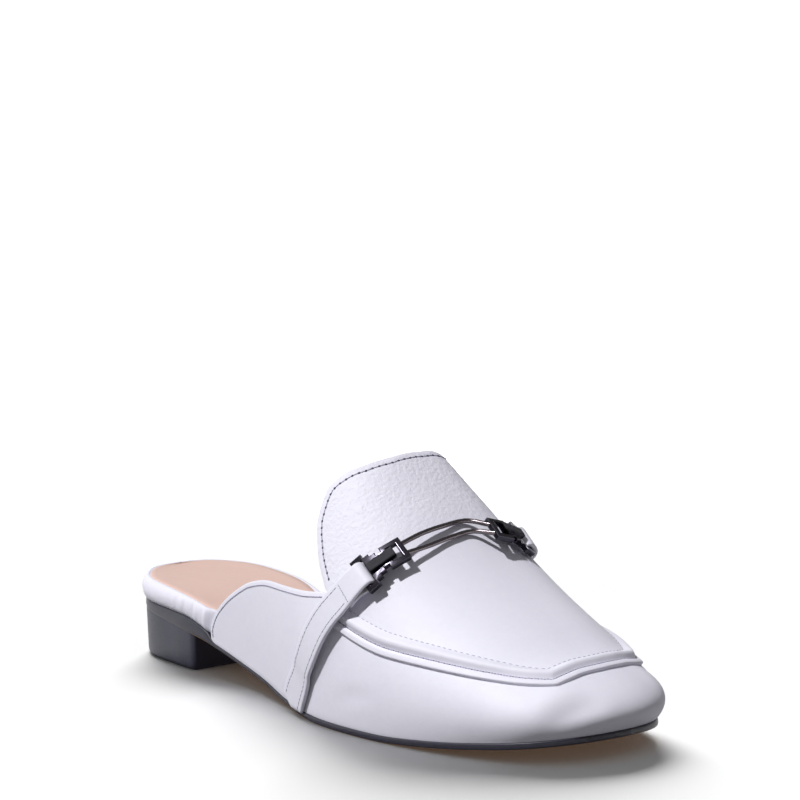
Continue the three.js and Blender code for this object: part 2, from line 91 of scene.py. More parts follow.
class Thickness(NamedTuple):
    """A thickness at a distance along the foot."""

    x: float
    size: float


class RidgePoint(NamedTuple):
    """A point of the instep ridge."""

    x: float
    y: float
    z: float


class SectionShape(NamedTuple):
    """Squareness of the half sections, and the bulge past the sole."""

    x: float
    lateral: float
    medial: float
    bulge: float


class EdgePoint(NamedTuple):
    """A point of the tongue's free edge: climb runs from the throat to the ridge."""

    climb: float
    x: float


class Place(NamedTuple):
    """A place on the upper: distance along the foot, and rise from the sole to the ridge."""

    x: float
    rise: float


def table(kind: type[NamedTuple], *rows: tuple[float, ...]) -> tuple[NamedTuple, ...]:
    """Rows of plain numbers as rows of one kind."""
    return tuple(kind(*row) for row in rows)


HEEL_BACK = (0.0, 0.0)
TOE_TIP = (262.0, 12.0)
SOLE_SECTIONS = table(
    SoleSection,
    (3.2, -14.5, 14), (17, -25.2, 24.8), (45, -28.5, 28), (80, -27.5, 25), (108, -29.2, 24),
    (132, -34.6, 26.5), (158, -40.2, 32.2), (183, -40.1, 38), (208, -35.9, 40.7),
    (231, -28.8, 40), (248.5, -19.6, 35), (258.5, -6.3, 25.5),
)
SOLE_HEIGHT = table(
    Height,
    (0, 20.5), (62, 13.7), (80, 9.9), (105, 5), (128, 1.9), (150, 0.3), (162, 0), (192, 0),
    (212, 1), (235, 3.2), (262, 6.8),
)
SOLE_EDGE = table(
    Thickness,
    (0, 4.3), (52, 4.2), (64, 2.6), (71, 1.3), (130, 1.4), (160, 2.2), (262, 2.3),
)
SOCK_HEIGHT = table(
    Height,
    (0, 33), (50, 29), (80, 22.4), (105, 14.4), (128, 9), (150, 6.3), (165, 5.6), (192, 5.6),
    (212, 6.6), (235, 8.8), (262, 12.4),
)
RIDGE = table(
    RidgePoint,
    (60, 0, 128), (140, 7, 102), (157.5, 9, 90), (172, 10.5, 77), (186, 11.5, 64.5),
    (205, 12, 50), (225, 11.5, 38), (240, 10.5, 30.5), (252, 9.5, 27), (264, 9, 25),
)
SECTION_SHAPE = table(
    SectionShape,
    (60, 2.3, 2.5, 0.3), (150, 2.35, 3, 0.9), (190, 2.35, 3, 1.4), (225, 2.45, 3, 2.2),
    (262, 2.7, 2.7, 3),
)
QUARTER_TOPLINE = table(
    Height,
    (70, 19), (73, 24), (79, 29.5), (88, 35), (100, 40), (114, 42.4), (130, 43), (146, 43.8),
    (163, 45.6),
)
TONGUE_EDGE = table(
    EdgePoint,
    (0, 163), (0.1, 153.5), (0.22, 147.8), (0.34, 147), (0.5, 150.4), (0.66, 154.6),
    (0.83, 157), (1, 157.5),
)


class SmoothTable:
    """Monotone cubic through one column of a table; constant beyond its ends."""

    def __init__(self, rows: Sequence[NamedTuple], column: str, along: str = "x") -> None:
        """Takes the rows, the column to follow and the column it runs along."""
        self.x = np.array([getattr(row, along) for row in rows], float)
        self.y = np.array([getattr(row, column) for row in rows], float)
        step = np.diff(self.x)
        slope = np.diff(self.y) / step
        self.tangent = np.zeros(len(self.x))
        self.tangent[0], self.tangent[-1] = slope[0], slope[-1]
        for i in range(1, len(slope)):
            if slope[i - 1] * slope[i] > 0:
                a = 2 * step[i] + step[i - 1]
                b = step[i] + 2 * step[i - 1]
                self.tangent[i] = (a + b) / (a / slope[i - 1] + b / slope[i])

    def __call__(self, at: Array | float) -> Array:
        """Value at one or many distances."""
        at = np.clip(np.asarray(at, float), self.x[0], self.x[-1])
        i = np.clip(np.searchsorted(self.x, at) - 1, 0, len(self.x) - 2)
        h = self.x[i + 1] - self.x[i]
        t = (at - self.x[i]) / h
        rise = self.y[i + 1] - self.y[i]
        bend = h * (self.tangent[i] + self.tangent[i + 1]) - 2 * rise
        return self.y[i] + t * (h * self.tangent[i] + t * (rise - h * self.tangent[i] - bend + t * bend))


def hermite(t: Array | float, start: Array, leave: Array, end: Array, arrive: Array) -> Array:
    """Cubic from start to end that leaves and arrives with given speeds."""
    return (
        (2 * t**3 - 3 * t**2 + 1) * start + (t**3 - 2 * t**2 + t) * leave
        + (-2 * t**3 + 3 * t**2) * end + (t**3 - t**2) * arrive
    )


def arc_length(points: Array) -> Array:
    """Length of a line up to each of its points."""
    return np.r_[0, np.cumsum(np.linalg.norm(np.diff(points, axis=0), axis=1))]


def catmull(points: Array, per_span: int, closed: bool = False) -> Array:
    """Centripetal Catmull-Rom curve through points.

    Args:
        points: one row for each point, of any width.
        per_span: samples in each span.
        closed: whether the last point runs on to the first.

    Returns:
        The samples; an open curve ends on its last point.
    """
    points = np.asarray(points, float)
    count = len(points)
    if closed:
        padded = np.vstack([points[-1:], points, points[:2]])
    else:
        padded = np.vstack([2 * points[0] - points[1], points, 2 * points[-1] - points[-2]])
    t = (np.arange(per_span) / per_span)[:, None]
    spans = []
    for i in range(count if closed else count - 1):
        p0, p1, p2, p3 = padded[i : i + 4]
        pairs = ((p0, p1), (p1, p2), (p2, p3))
        d1, d2, d3 = (math.sqrt(np.linalg.norm(b - a)) + 1e-9 for a, b in pairs)
        m1 = ((p1 - p0) / d1 - (p2 - p0) / (d1 + d2) + (p2 - p1) / d2) * d2
        m2 = ((p2 - p1) / d2 - (p3 - p1) / (d2 + d3) + (p3 - p2) / d3) * d2
        spans.append(hermite(t, p1, m1, p2, m2))
    if not closed:
        spans.append(points[-1:])
    return np.vstack(spans)


def unit(vectors: Array) -> Array:
    """Vectors scaled to length one."""
    return vectors / np.maximum(np.linalg.norm(vectors, axis=-1, keepdims=True), 1e-12)


def smooth_step(x: Array | float, low: float, high: float) -> Array:
    """Soft change from 0 at low to 1 at high."""
    t = np.clip((np.asarray(x, float) - low) / (high - low), 0, 1)
    return t * t * (3 - 2 * t)


@dataclass
class Last:
    """The shoe's form: sole outline, heights and the upper's surface, in millimetres."""

    throat: float = 163.0
    spine_bend: float = 200.0
    spine_end: float = 236.0
    upper_inset: float = 0.4
    sock_thickness: float = 2.0
    gap: float = 0.3
    quarter_start: float = 70.0
    outline_steps: int = 24
    difference: float = 0.004

    def __post_init__(self) -> None:
        """Samples the outline and reads the tables."""
        lateral = [(row.x, row.lateral) for row in SOLE_SECTIONS]
        medial = [(row.x, row.medial) for row in SOLE_SECTIONS]
        loop = np.array([HEEL_BACK, *lateral, TOE_TIP, *medial[::-1]])
        self.outline = catmull(loop, self.outline_steps, closed=True)
        tangent = unit(np.roll(self.outline, -1, 0) - np.roll(self.outline, 1, 0))
        self.outward = np.stack([tangent[:, 1], -tangent[:, 0]], 1)
        tip = int(np.argmax(self.outline[:, 0]))
        self.tip = float(self.outline[tip, 0])
        count = len(self.outline)
        self.branch = {
            Side.LATERAL: np.arange(tip + 1),
            Side.MEDIAL: np.r_[0, np.arange(count - 1, tip - 1, -1)],
        }
        self.sole_height = SmoothTable(SOLE_HEIGHT, "z")
        self.sole_edge = SmoothTable(SOLE_EDGE, "size")
        self.sock_height = SmoothTable(SOCK_HEIGHT, "z")
        self.ridge_z = SmoothTable(RIDGE, "z")
        self.ridge_y = SmoothTable(RIDGE, "y")
        self.bulge = SmoothTable(SECTION_SHAPE, "bulge")
        self.square = {
            Side.LATERAL: SmoothTable(SECTION_SHAPE, "lateral"),
            Side.MEDIAL: SmoothTable(SECTION_SHAPE, "medial"),
        }
        self.topline = SmoothTable(QUARTER_TOPLINE, "z")
        self.tongue_x = SmoothTable(TONGUE_EDGE, "x", along="climb")
        low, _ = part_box("outsole")
        corner = np.array([low.x, low.y]) / MM
        self.shift = np.array([*(corner - self.outline.min(0)), 0.0])

    def to_row(self, points: Array) -> Array:
        """Points of the last as points of the row frame, in metres."""
        return (np.asarray(points, float) + self.shift) * MM

    def sole_top(self, x: Array) -> Array:
        """Top of the outsole."""
        return self.sole_height(x) + self.sole_edge(x)

    def column_x(self, u: Array) -> Array:
        """Distance along the foot of a column: 0 at the throat, 1 at the toe tip."""
        return self.tip - (self.tip - self.throat) * (1 - np.asarray(u)) ** 2

    def column_at(self, x: Array | float) -> Array:
        """Column that stands at a distance along the foot."""
        return 1 - np.sqrt((self.tip - np.asarray(x)) / (self.tip - self.throat))

    def edge(self, side: Side, x: Array, inset: Array | float = 0.0) -> tuple[Array, Array]:
        """Outline at a distance along the foot.

        Args:
            side: branch of the outline.
            x: distances along the foot.
            inset: how far the outline is drawn in.

        Returns:
            The Y of the outline there, and its outward normals.
        """
        rows = self.branch[side]
        points = self.outline[rows] - self.outward[rows] * inset
        y = np.interp(x, points[:, 0], points[:, 1])
        normal = np.stack([np.interp(x, points[:, 0], self.outward[rows, k]) for k in (0, 1)], -1)
        return y, normal

    def _spine_x(self, x: Array) -> Array:
        """Distance along the ridge that a section meets it at."""
        span = self.spine_end - self.spine_bend
        reach = (self.tip - self.spine_bend) / span
        w = np.clip((x - self.spine_bend) / (self.tip - self.spine_bend), 0, 1)
        return np.where(x < self.spine_bend, x, self.spine_bend + span * (1 - (1 - w) ** reach))

    def surface(self, side: Side, u: Array, rise: Array) -> Array:
        """Points of the upper's outer surface; past 1, u or rise goes to the other side."""
        sides, u, rise = np.broadcast_arrays(float(side), np.asarray(u, float), np.asarray(rise, float))
        sides = np.where(u > 1, -sides, sides)
        u = np.where(u > 1, 2 - u, u)
        sides = np.where(rise > 1, -sides, sides)
        rise = np.where(rise > 1, 2 - rise, rise)
        x = self.column_x(u)
        y, power = np.zeros_like(x), np.zeros_like(x)
        normal = np.zeros(x.shape + (2,))
        for which in Side:
            here = sides == which
            y[here], normal[here] = self.edge(which, x[here])
            power[here] = 2 / self.square[which](x[here])
        foot = np.stack([x, y], -1) - normal * self.upper_inset
        spine = self._spine_x(x)
        ridge = np.stack([spine, self.ridge_y(spine)], -1)
        angle = rise * math.pi / 2
        outward = np.abs(np.cos(angle)) ** power
        upward = np.abs(np.sin(angle)) ** power
        bulge = self.bulge(x) * np.sin(math.pi * upward**0.9) * outward
        plan = ridge + (foot - ridge) * outward[..., None] + normal * bulge[..., None]
        bottom = self.sole_top(x) + self.gap
        z = bottom + (self.ridge_z(plan[..., 0]) - bottom) * upward
        return np.concatenate([plan, z[..., None]], -1)

    def slopes(self, side: Side, u: Array, rise: Array) -> tuple[Array, Array]:
        """Change of the surface for each unit of u and of rise."""
        step = self.difference
        low = np.maximum(np.asarray(rise) - step, 0)
        along = (self.surface(side, u + step, rise) - self.surface(side, u - step, rise)) / (2 * step)
        up = self.surface(side, u, rise + step) - self.surface(side, u, low)
        return along, up / (rise + step - low)[..., None]

    def normal(self, side: Side, u: Array, rise: Array) -> Array:
        """Outward normals of the upper's surface."""
        along, up = self.slopes(side, u, rise)
        return unit(np.cross(along, up)) * -float(side)

    def offset(self, side: Side, u: Array, rise: Array, distance: Array | float) -> Array:
        """Points a distance outside the upper's surface."""
        u, rise = np.broadcast_arrays(np.asarray(u, float), np.asarray(rise, float))
        distance = np.broadcast_to(distance, u.shape)
        return self.surface(side, u, rise) + self.normal(side, u, rise) * distance[..., None]

    def rise_at(self, side: Side, u: Array, z: Array) -> Array:
        """Rise at which each column reaches a height."""
        u, z = np.broadcast_arrays(np.asarray(u, float), np.asarray(z, float))
        low, high = np.zeros(u.shape), np.ones(u.shape)
        for _ in range(30):
            middle = (low + high) / 2
            under = self.surface(side, u, middle)[..., 2] < z
            low, high = np.where(under, middle, low), np.where(under, high, middle)
        return (low + high) / 2

    def split_rise(self, side: Side, u: Array) -> Array:
        """Rise of the row that starts at the throat; both sides share one at the toe tip."""
        at = {which: float(self.rise_at(which, 0.0, self.topline(self.throat))) for which in Side}
        shared = sum(at.values()) / 2
        return at[side] + (shared - at[side]) * np.clip(u, 0, 1)

    def beside(self, side: Side, u: Array, rise: Array, shove: Array) -> tuple[Array, Array]:
        """Places on the surface a short shove away from others.

        Args:
            side: side of the foot.
            u: columns of the starting places.
            rise: rises of the starting places.
            shove: vectors, in millimetres; only their part along the surface counts.

        Returns:
            The columns and rises of the new places.
        """
        along, up = self.slopes(side, u, rise)
        dot = lambda a, b: (a * b).sum(-1)
        uu, ur, rr = dot(along, along), dot(along, up), dot(up, up)
        determinant = uu * rr - ur * ur
        du = (dot(shove, along) * rr - dot(shove, up) * ur) / determinant
        dr = (dot(shove, up) * uu - dot(shove, along) * ur) / determinant
        return u + du, np.maximum(rise + dr, 0)


# ---- Finishes -------------------------------------------------------------------------------
Link = bpy.types.NodeSocket


class Nodes:
    """Short way to lay out a material's nodes."""

    def __init__(self, name: str) -> None:
        """Starts a material with a Principled surface."""
        self.material = bpy.data.materials.new(name)
        self.material.use_nodes = True
        self.tree = self.material.node_tree
        self.surface = self.tree.nodes["Principled BSDF"]
        self.coordinates = self.add("ShaderNodeTexCoord").outputs["Object"]

    def add(self, kind: str, **settings: object) -> bpy.types.Node:
        """New node with its settings."""
        node = self.tree.nodes.new(kind)
        for key, value in settings.items():
            setattr(node, key, value)
        return node

    def put(self, socket: bpy.types.NodeSocket, value: object) -> None:
        """Links an output to a socket, or sets the socket's own value."""
        if isinstance(value, bpy.types.NodeSocket):
            self.tree.links.new(value, socket)
        else:
            socket.default_value = value

    def math(self, operation: str, a: object, b: object = 0.0) -> Link:
        """Math node's output."""
        node = self.add("ShaderNodeMath", operation=operation)
        self.put(node.inputs[0], a)
        self.put(node.inputs[1], b)
        return node.outputs[0]

    def noise(self, scale: float, detail: float = 4.0, roughness: float = 0.55, lift: float = 0.0) -> Link:
        """Noise on Object coordinates; scale is in features for each metre."""
        node = self.add("ShaderNodeTexNoise")
        self.put(node.inputs["Vector"], self.coordinates)
        node.inputs["Scale"].default_value = scale
        node.inputs["Detail"].default_value = detail
        node.inputs["Roughness"].default_value = roughness
        node.inputs["Distortion"].default_value = lift
        return node.outputs["Fac"]

    def cells(self, scale: float, warp: Link | None = None, feature: str = "SMOOTH_F1") -> Link:
        """Cell distances on Object coordinates, shaken by a warp value."""
        node = self.add("ShaderNodeTexVoronoi", feature=feature)
        vector = self.coordinates
        if warp is not None:
            mixed = self.add("ShaderNodeVectorMath", operation="MULTIPLY_ADD")
            self.put(mixed.inputs[0], warp)
            mixed.inputs[1].default_value = (2.0 / scale,) * 3
            self.put(mixed.inputs[2], self.coordinates)
            vector = mixed.outputs[0]
        self.put(node.inputs["Vector"], vector)
        node.inputs["Scale"].default_value = scale
        return node.outputs["Distance"]

    def between(self, factor: Link, low: float, high: float) -> Link:
        """A 0 to 1 value stretched to a range."""
        node = self.add("ShaderNodeMapRange")
        self.put(node.inputs["Value"], factor)
        node.inputs["To Min"].default_value = low
        node.inputs["To Max"].default_value = high
        return node.outputs["Result"]

    def blend(self, factor: Link, a: Sequence[float], b: Sequence[float]) -> Link:
        """Colour between two colours."""
        node = self.add("ShaderNodeMix", data_type="RGBA")
        self.put(node.inputs["Factor"], factor)
        node.inputs["A"].default_value = (*a, 1)
        node.inputs["B"].default_value = (*b, 1)
        return node.outputs["Result"]

    def attribute(self, name: str) -> Link:
        """Value painted on the mesh."""
        return self.add("ShaderNodeAttribute", attribute_name=name).outputs["Fac"]

    def bump(self, height: Link, strength: object, distance: float, under: Link | None = None) -> Link:
        """Bumped normal, on top of another."""
        node = self.add("ShaderNodeBump")
        self.put(node.inputs["Height"], height)
        self.put(node.inputs["Strength"], strength)
        node.inputs["Distance"].default_value = distance
        if under is not None:
            self.put(node.inputs["Normal"], under)
        return node.outputs["Normal"]


@dataclass(frozen=True)
class Leather:
    """Smooth or crinkled leather.

    Crinkles follow the mesh's "grain" value: 0 is smooth, 1 is fully crinkled.
    """

    name: str
    colour: tuple[float, float, float]
    shade: tuple[float, float, float]
    roughness: float = 0.42
    crinkle_size: float = 1.5
    crinkle_depth: float = 0.22
    pore_size: float = 0.35
    pore_depth: float = 0.03
    crinkled: bool = True

    def material(self) -> bpy.types.Material:
        """Builds the finish."""
        n = Nodes(self.name)
        cloud = n.noise(45, 3)
        mottle = n.noise(400, 5)
        tint = n.math("MULTIPLY", cloud, mottle)
        n.put(n.surface.inputs["Base Color"], n.blend(n.between(tint, 0.0, 2.0), self.colour, self.shade))
        roughness = n.between(n.noise(700, 4), self.roughness - 0.06, self.roughness + 0.08)
        n.put(n.surface.inputs["Roughness"], roughness)
        n.surface.inputs["Specular IOR Level"].default_value = 0.45
        warp = n.noise(1000 / self.crinkle_size * 0.7, 5)
        pores = n.cells(1000 / self.pore_size, warp)
        normal = n.bump(pores, 0.35, self.pore_depth * MM)
        if self.crinkled:
            cells = n.cells(1000 / self.crinkle_size, warp)
            fine = n.noise(1000 / self.crinkle_size * 1.3, 8, 0.6)
            height = n.math("ADD", cells, n.math("MULTIPLY", fine, 0.8))
            amount = n.between(n.attribute("grain"), 0.05, 1.0)
            normal = n.bump(height, amount, self.crinkle_depth * MM, normal)
        n.put(n.surface.inputs["Normal"], normal)
        return n.material


@dataclass(frozen=True)
class Polished:
    """Hard smooth finish, such as plated metal or a painted heel."""

    name: str
    colour: tuple[float, float, float]
    shade: tuple[float, float, float]
    roughness: float
    metallic: float = 0.0
    coat: float = 0.0
    grain_size: float = 0.6
    grain_depth: float = 0.01

    def material(self) -> bpy.types.Material:
        """Builds the finish."""
        n = Nodes(self.name)
        cloud = n.noise(160, 4)
        fine = n.noise(1000 / self.grain_size, 6)
        n.put(n.surface.inputs["Base Color"], n.blend(cloud, self.colour, self.shade))
        n.put(n.surface.inputs["Roughness"], n.between(fine, self.roughness * 0.75, self.roughness * 1.3))
        n.surface.inputs["Metallic"].default_value = self.metallic
        n.surface.inputs["Coat Weight"].default_value = self.coat
        n.surface.inputs["Coat Roughness"].default_value = 0.12
        n.put(n.surface.inputs["Normal"], n.bump(fine, 0.4, self.grain_depth * MM))
        return n.material


FINISHES = {
    "upper": Leather("white_leather", (0.80, 0.79, 0.885), (0.75, 0.74, 0.845), roughness=0.56),
    "lining": Leather(
        "lining_leather", (0.82, 0.81, 0.84), (0.76, 0.75, 0.79), roughness=0.6, crinkled=False
    ),
    "sock": Leather(
        "tan_sock", (0.73, 0.52, 0.46), (0.68, 0.475, 0.415), roughness=0.6, crinkled=False
    ),
    "sole_edge": Polished(
        "black_sole_edge", (0.018, 0.017, 0.030), (0.028, 0.027, 0.045), 0.42, grain_depth=0.03
    ),
    "tread": Polished(
        "tan_tread", (0.45, 0.27, 0.16), (0.38, 0.22, 0.13), 0.5, grain_size=1.5, grain_depth=0.05
    ),
    "heel": Polished(
        "black_heel", (0.014, 0.014, 0.030), (0.022, 0.022, 0.046), 0.42, grain_depth=0.02
    ),
    "gunmetal": Polished("gunmetal", (0.042, 0.039, 0.05), (0.07, 0.065, 0.08), 0.2, metallic=1.0),
    "rod_metal": Polished("rod_metal", (0.15, 0.13, 0.14), (0.19, 0.165, 0.175), 0.24, metallic=1.0),
    # Near-black finish for the rib's top faces: painted dark reflection of the flat top, darker than the
    # link's metal sides.
    "black_enamel": Polished("black_enamel", (0.010, 0.010, 0.016), (0.018, 0.018, 0.026), 0.75),
    "thread": Polished(
        "lilac_thread", (0.34, 0.33, 0.45), (0.42, 0.41, 0.54), 0.6, grain_size=0.25, grain_depth=0.05
    ),
    # Greyer copy of the white leather for the strap's underside and lowest rim row: painted shade on the
    # strap's edge and underside.
    "strap_edge": Leather(
        "strap_edge", (0.66, 0.63, 0.62), (0.58, 0.55, 0.54), roughness=0.7, crinkled=False
    ),
    # Near-black finish for the small balls at the needle holes: painted shade inside each hole.
    "needle_hole": Polished("needle_hole", (0.05, 0.045, 0.08), (0.09, 0.08, 0.13), 0.8),
}


class Palette:
    """Every finish of the shoe, made once."""

    upper: bpy.types.Material
    lining: bpy.types.Material
    sock: bpy.types.Material
    sole_edge: bpy.types.Material
    tread: bpy.types.Material
    heel: bpy.types.Material
    gunmetal: bpy.types.Material
    rod_metal: bpy.types.Material
    black_enamel: bpy.types.Material
    thread: bpy.types.Material
    needle_hole: bpy.types.Material
    strap_edge: bpy.types.Material

    def __init__(self) -> None:
        """Builds the finishes."""
        for use, finish in FINISHES.items():
            setattr(self, use, finish.material())


# ---- Mesh making ----------------------------------------------------------------------------
def finish_object(
    name: str,
    vertices: Array,
    faces: Sequence[Sequence[int]],
    materials: Sequence[bpy.types.Material],
    indices: Sequence[int] | None = None,
    grain: Array | None = None,
    smooth: bool = True,
) -> bpy.types.Object:
    """Mesh object at the origin from points of the row frame.

    Args:
        name: the piece's name.
        vertices: points in metres.
        faces: vertex numbers of each face, turning left seen from outside.
        materials: the piece's finishes.
        indices: finish of each face.
        grain: crinkle of each vertex, from 0 to 1.
        smooth: whether the faces are shaded smooth.

    Returns:
        The linked object.
    """
    mesh = bpy.data.meshes.new(name)
    mesh.from_pydata(np.asarray(vertices).tolist(), [], [list(map(int, face)) for face in faces])
    for material in materials:
        mesh.materials.append(material)
    if indices is not None:
        mesh.polygons.foreach_set("material_index", np.asarray(indices, np.int32))
    if grain is not None:
        layer = mesh.attributes.new("grain", "FLOAT", "POINT")
        layer.data.foreach_set("value", np.asarray(grain, np.float32))
    mesh.shade_smooth() if smooth else mesh.shade_flat()
    mesh.update()
    item = bpy.data.objects.new(name, mesh)
    bpy.context.scene.collection.objects.link(item)
    return item


def dress(item: bpy.types.Object, slot: str, *nodes: str) -> bpy.types.Object:
    """Rides a piece on the shoe's body, hides the CAD nodes that it stands for and logs its triangles."""
    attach(item, BODY)
    if nodes:
        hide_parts(*nodes)
    triangles = sum(len(face.vertices) - 2 for face in item.data.polygons)
    LOG.info("%s: %d triangles", item.name, triangles)
    return item


class Sheet:
    """Closed solid from patches of outer and inner points, with a rounded free border."""

    def __init__(self) -> None:
        """Starts with no patches."""
        self.outer: list[Array] = []
        self.inner: list[Array] = []
        self.quads: list[Array] = []
        self.grain: list[Array] = []
        self.swell: list[Array] = []
        self.count = 0

    def add(
        self,
        outer: Array,
        inner: Array,
        flipped: bool = False,
        grain: Array | float = 0.0,
        swell: Array | float = 1.0,
    ) -> None:
        """Adds a patch.

        Args:
            outer: grid of outer points, in millimetres.
            inner: grid of the points under them.
            flipped: whether the grid turns the other way round.
            grain: crinkle at the points.
            swell: roundness of the border at the points, from 0 to 1.
        """
        rows, columns = outer.shape[:2]
        ids = np.arange(rows * columns).reshape(rows, columns) + self.count
        quads = np.stack([ids[:-1, :-1], ids[1:, :-1], ids[1:, 1:], ids[:-1, 1:]], -1).reshape(-1, 4)
        self.quads.append(quads[:, ::-1] if flipped else quads)
        self.outer.append(outer.reshape(-1, 3))
        self.inner.append(inner.reshape(-1, 3))
        self.grain.append(np.broadcast_to(grain, (rows, columns)).ravel())
        self.swell.append(np.broadcast_to(swell, (rows, columns)).ravel())
        self.count += rows * columns

    def _welded(self) -> tuple[Array, Array, Array, Array, list[list[int]]]:
        """Points with doubles merged, and the faces that are left."""
        outer, inner = np.vstack(self.outer), np.vstack(self.inner)
        _, first, back = np.unique(np.round(outer, 3), axis=0, return_index=True, return_inverse=True)
        faces = []
        for quad in back.ravel()[np.vstack(self.quads)]:
            face = [v for k, v in enumerate(quad) if v != quad[k - 1]]
            if len(face) > 2:
                faces.append(face)
        grain = np.concatenate(self.grain)[first]
        swell = np.concatenate(self.swell)[first]
        return outer[first], inner[first], grain, swell, faces

    def build(
        self, name: str, last: Last, materials: Sequence[bpy.types.Material], steps: int = 6
    ) -> bpy.types.Object:
        """Makes the solid.

        Args:
            name: the piece's name.
            last: the last, for its place.
            materials: finishes of the outside and of the inside.
            steps: rows that round the border.

        Returns:
            The object.
        """
        outer, inner, grain, swell, faces = self._welded()
        count = len(outer)
        directed = {(face[k - 1], face[k]) for face in faces for k in range(len(face))}
        border = [(a, b) for a, b in directed if (b, a) not in directed]
        normal = unit(outer - inner)
        away = np.zeros_like(outer)
        for a, b in border:
            side = np.cross(outer[b] - outer[a], normal[a] + normal[b])
            side /= np.linalg.norm(side) + 1e-12
            away[a] += side
            away[b] += side
        away = unit(away)
        edge = sorted({v for pair in border for v in pair})
        place = {v: k for k, v in enumerate(edge)}
        middle = (outer[edge] + inner[edge]) / 2
        half = outer[edge] - middle
        radius = np.linalg.norm(half, axis=1)[:, None] * swell[edge][:, None]
        rows = []
        for k in range(1, steps):
            turn = math.pi * k / steps
            rows.append(middle + half * math.cos(turn) + away[edge] * radius * math.sin(turn))
        points = np.vstack([outer, inner, *rows])

        def level(vertex: int, row: int) -> int:
            """Number of a border vertex in a row of the rounding."""
            if row in (0, steps):
                return vertex + (count if row else 0)
            return 2 * count + (row - 1) * len(edge) + place[vertex]

        all_faces = list(faces) + [[v + count for v in face[::-1]] for face in faces]
        kinds = [0] * len(faces) + [1] * len(faces)
        for a, b in border:
            for k in range(steps):
                all_faces.append([level(b, k), level(a, k), level(a, k + 1), level(b, k + 1)])
                kinds.append(0 if k < steps - 1 else 1)
        values = np.concatenate([grain, grain, *[grain[edge] for _ in rows]])
        return finish_object(name, last.to_row(points), all_faces, materials, kinds, values)


def tube_faces(rings: int, around: int) -> list[list[int]]:
    """Faces between equal rings, and one face over each end."""
    faces = []
    for ring in range(rings - 1):
        for place in range(around):
            a, b = ring * around + place, ring * around + (place + 1) % around
            faces.append([a, b, b + around, a + around])
    end = (rings - 1) * around
    return [*faces, list(range(around))[::-1], list(range(end, end + around))]


def mend(mesh: bpy.types.Mesh, distance: float = 0.02 * MM) -> None:
    """Merges doubles and turns the faces outwards."""
    work = bmesh.new()
    work.from_mesh(mesh)
    bmesh.ops.remove_doubles(work, verts=work.verts, dist=distance)
    bmesh.ops.recalc_face_normals(work, faces=work.faces)
    work.to_mesh(mesh)
    work.free()


def fractions(count: int, power: float = 1.0) -> Array:
    """Steps from 0 to 1, closer near 0 when power is above 1."""
    return np.linspace(0, 1, count + 1) ** power


# ---- Sole unit ------------------------------------------------------------------------------
# Top of the heel: rise above the sole's underside, and inset, of each level.
HEEL_SHOULDER = ((1.3, 0.45), (0.6, 0.12), (-0.6, 0.0))
HEEL_EDGE_TURNS = (0, 22, 45, 67, 90)


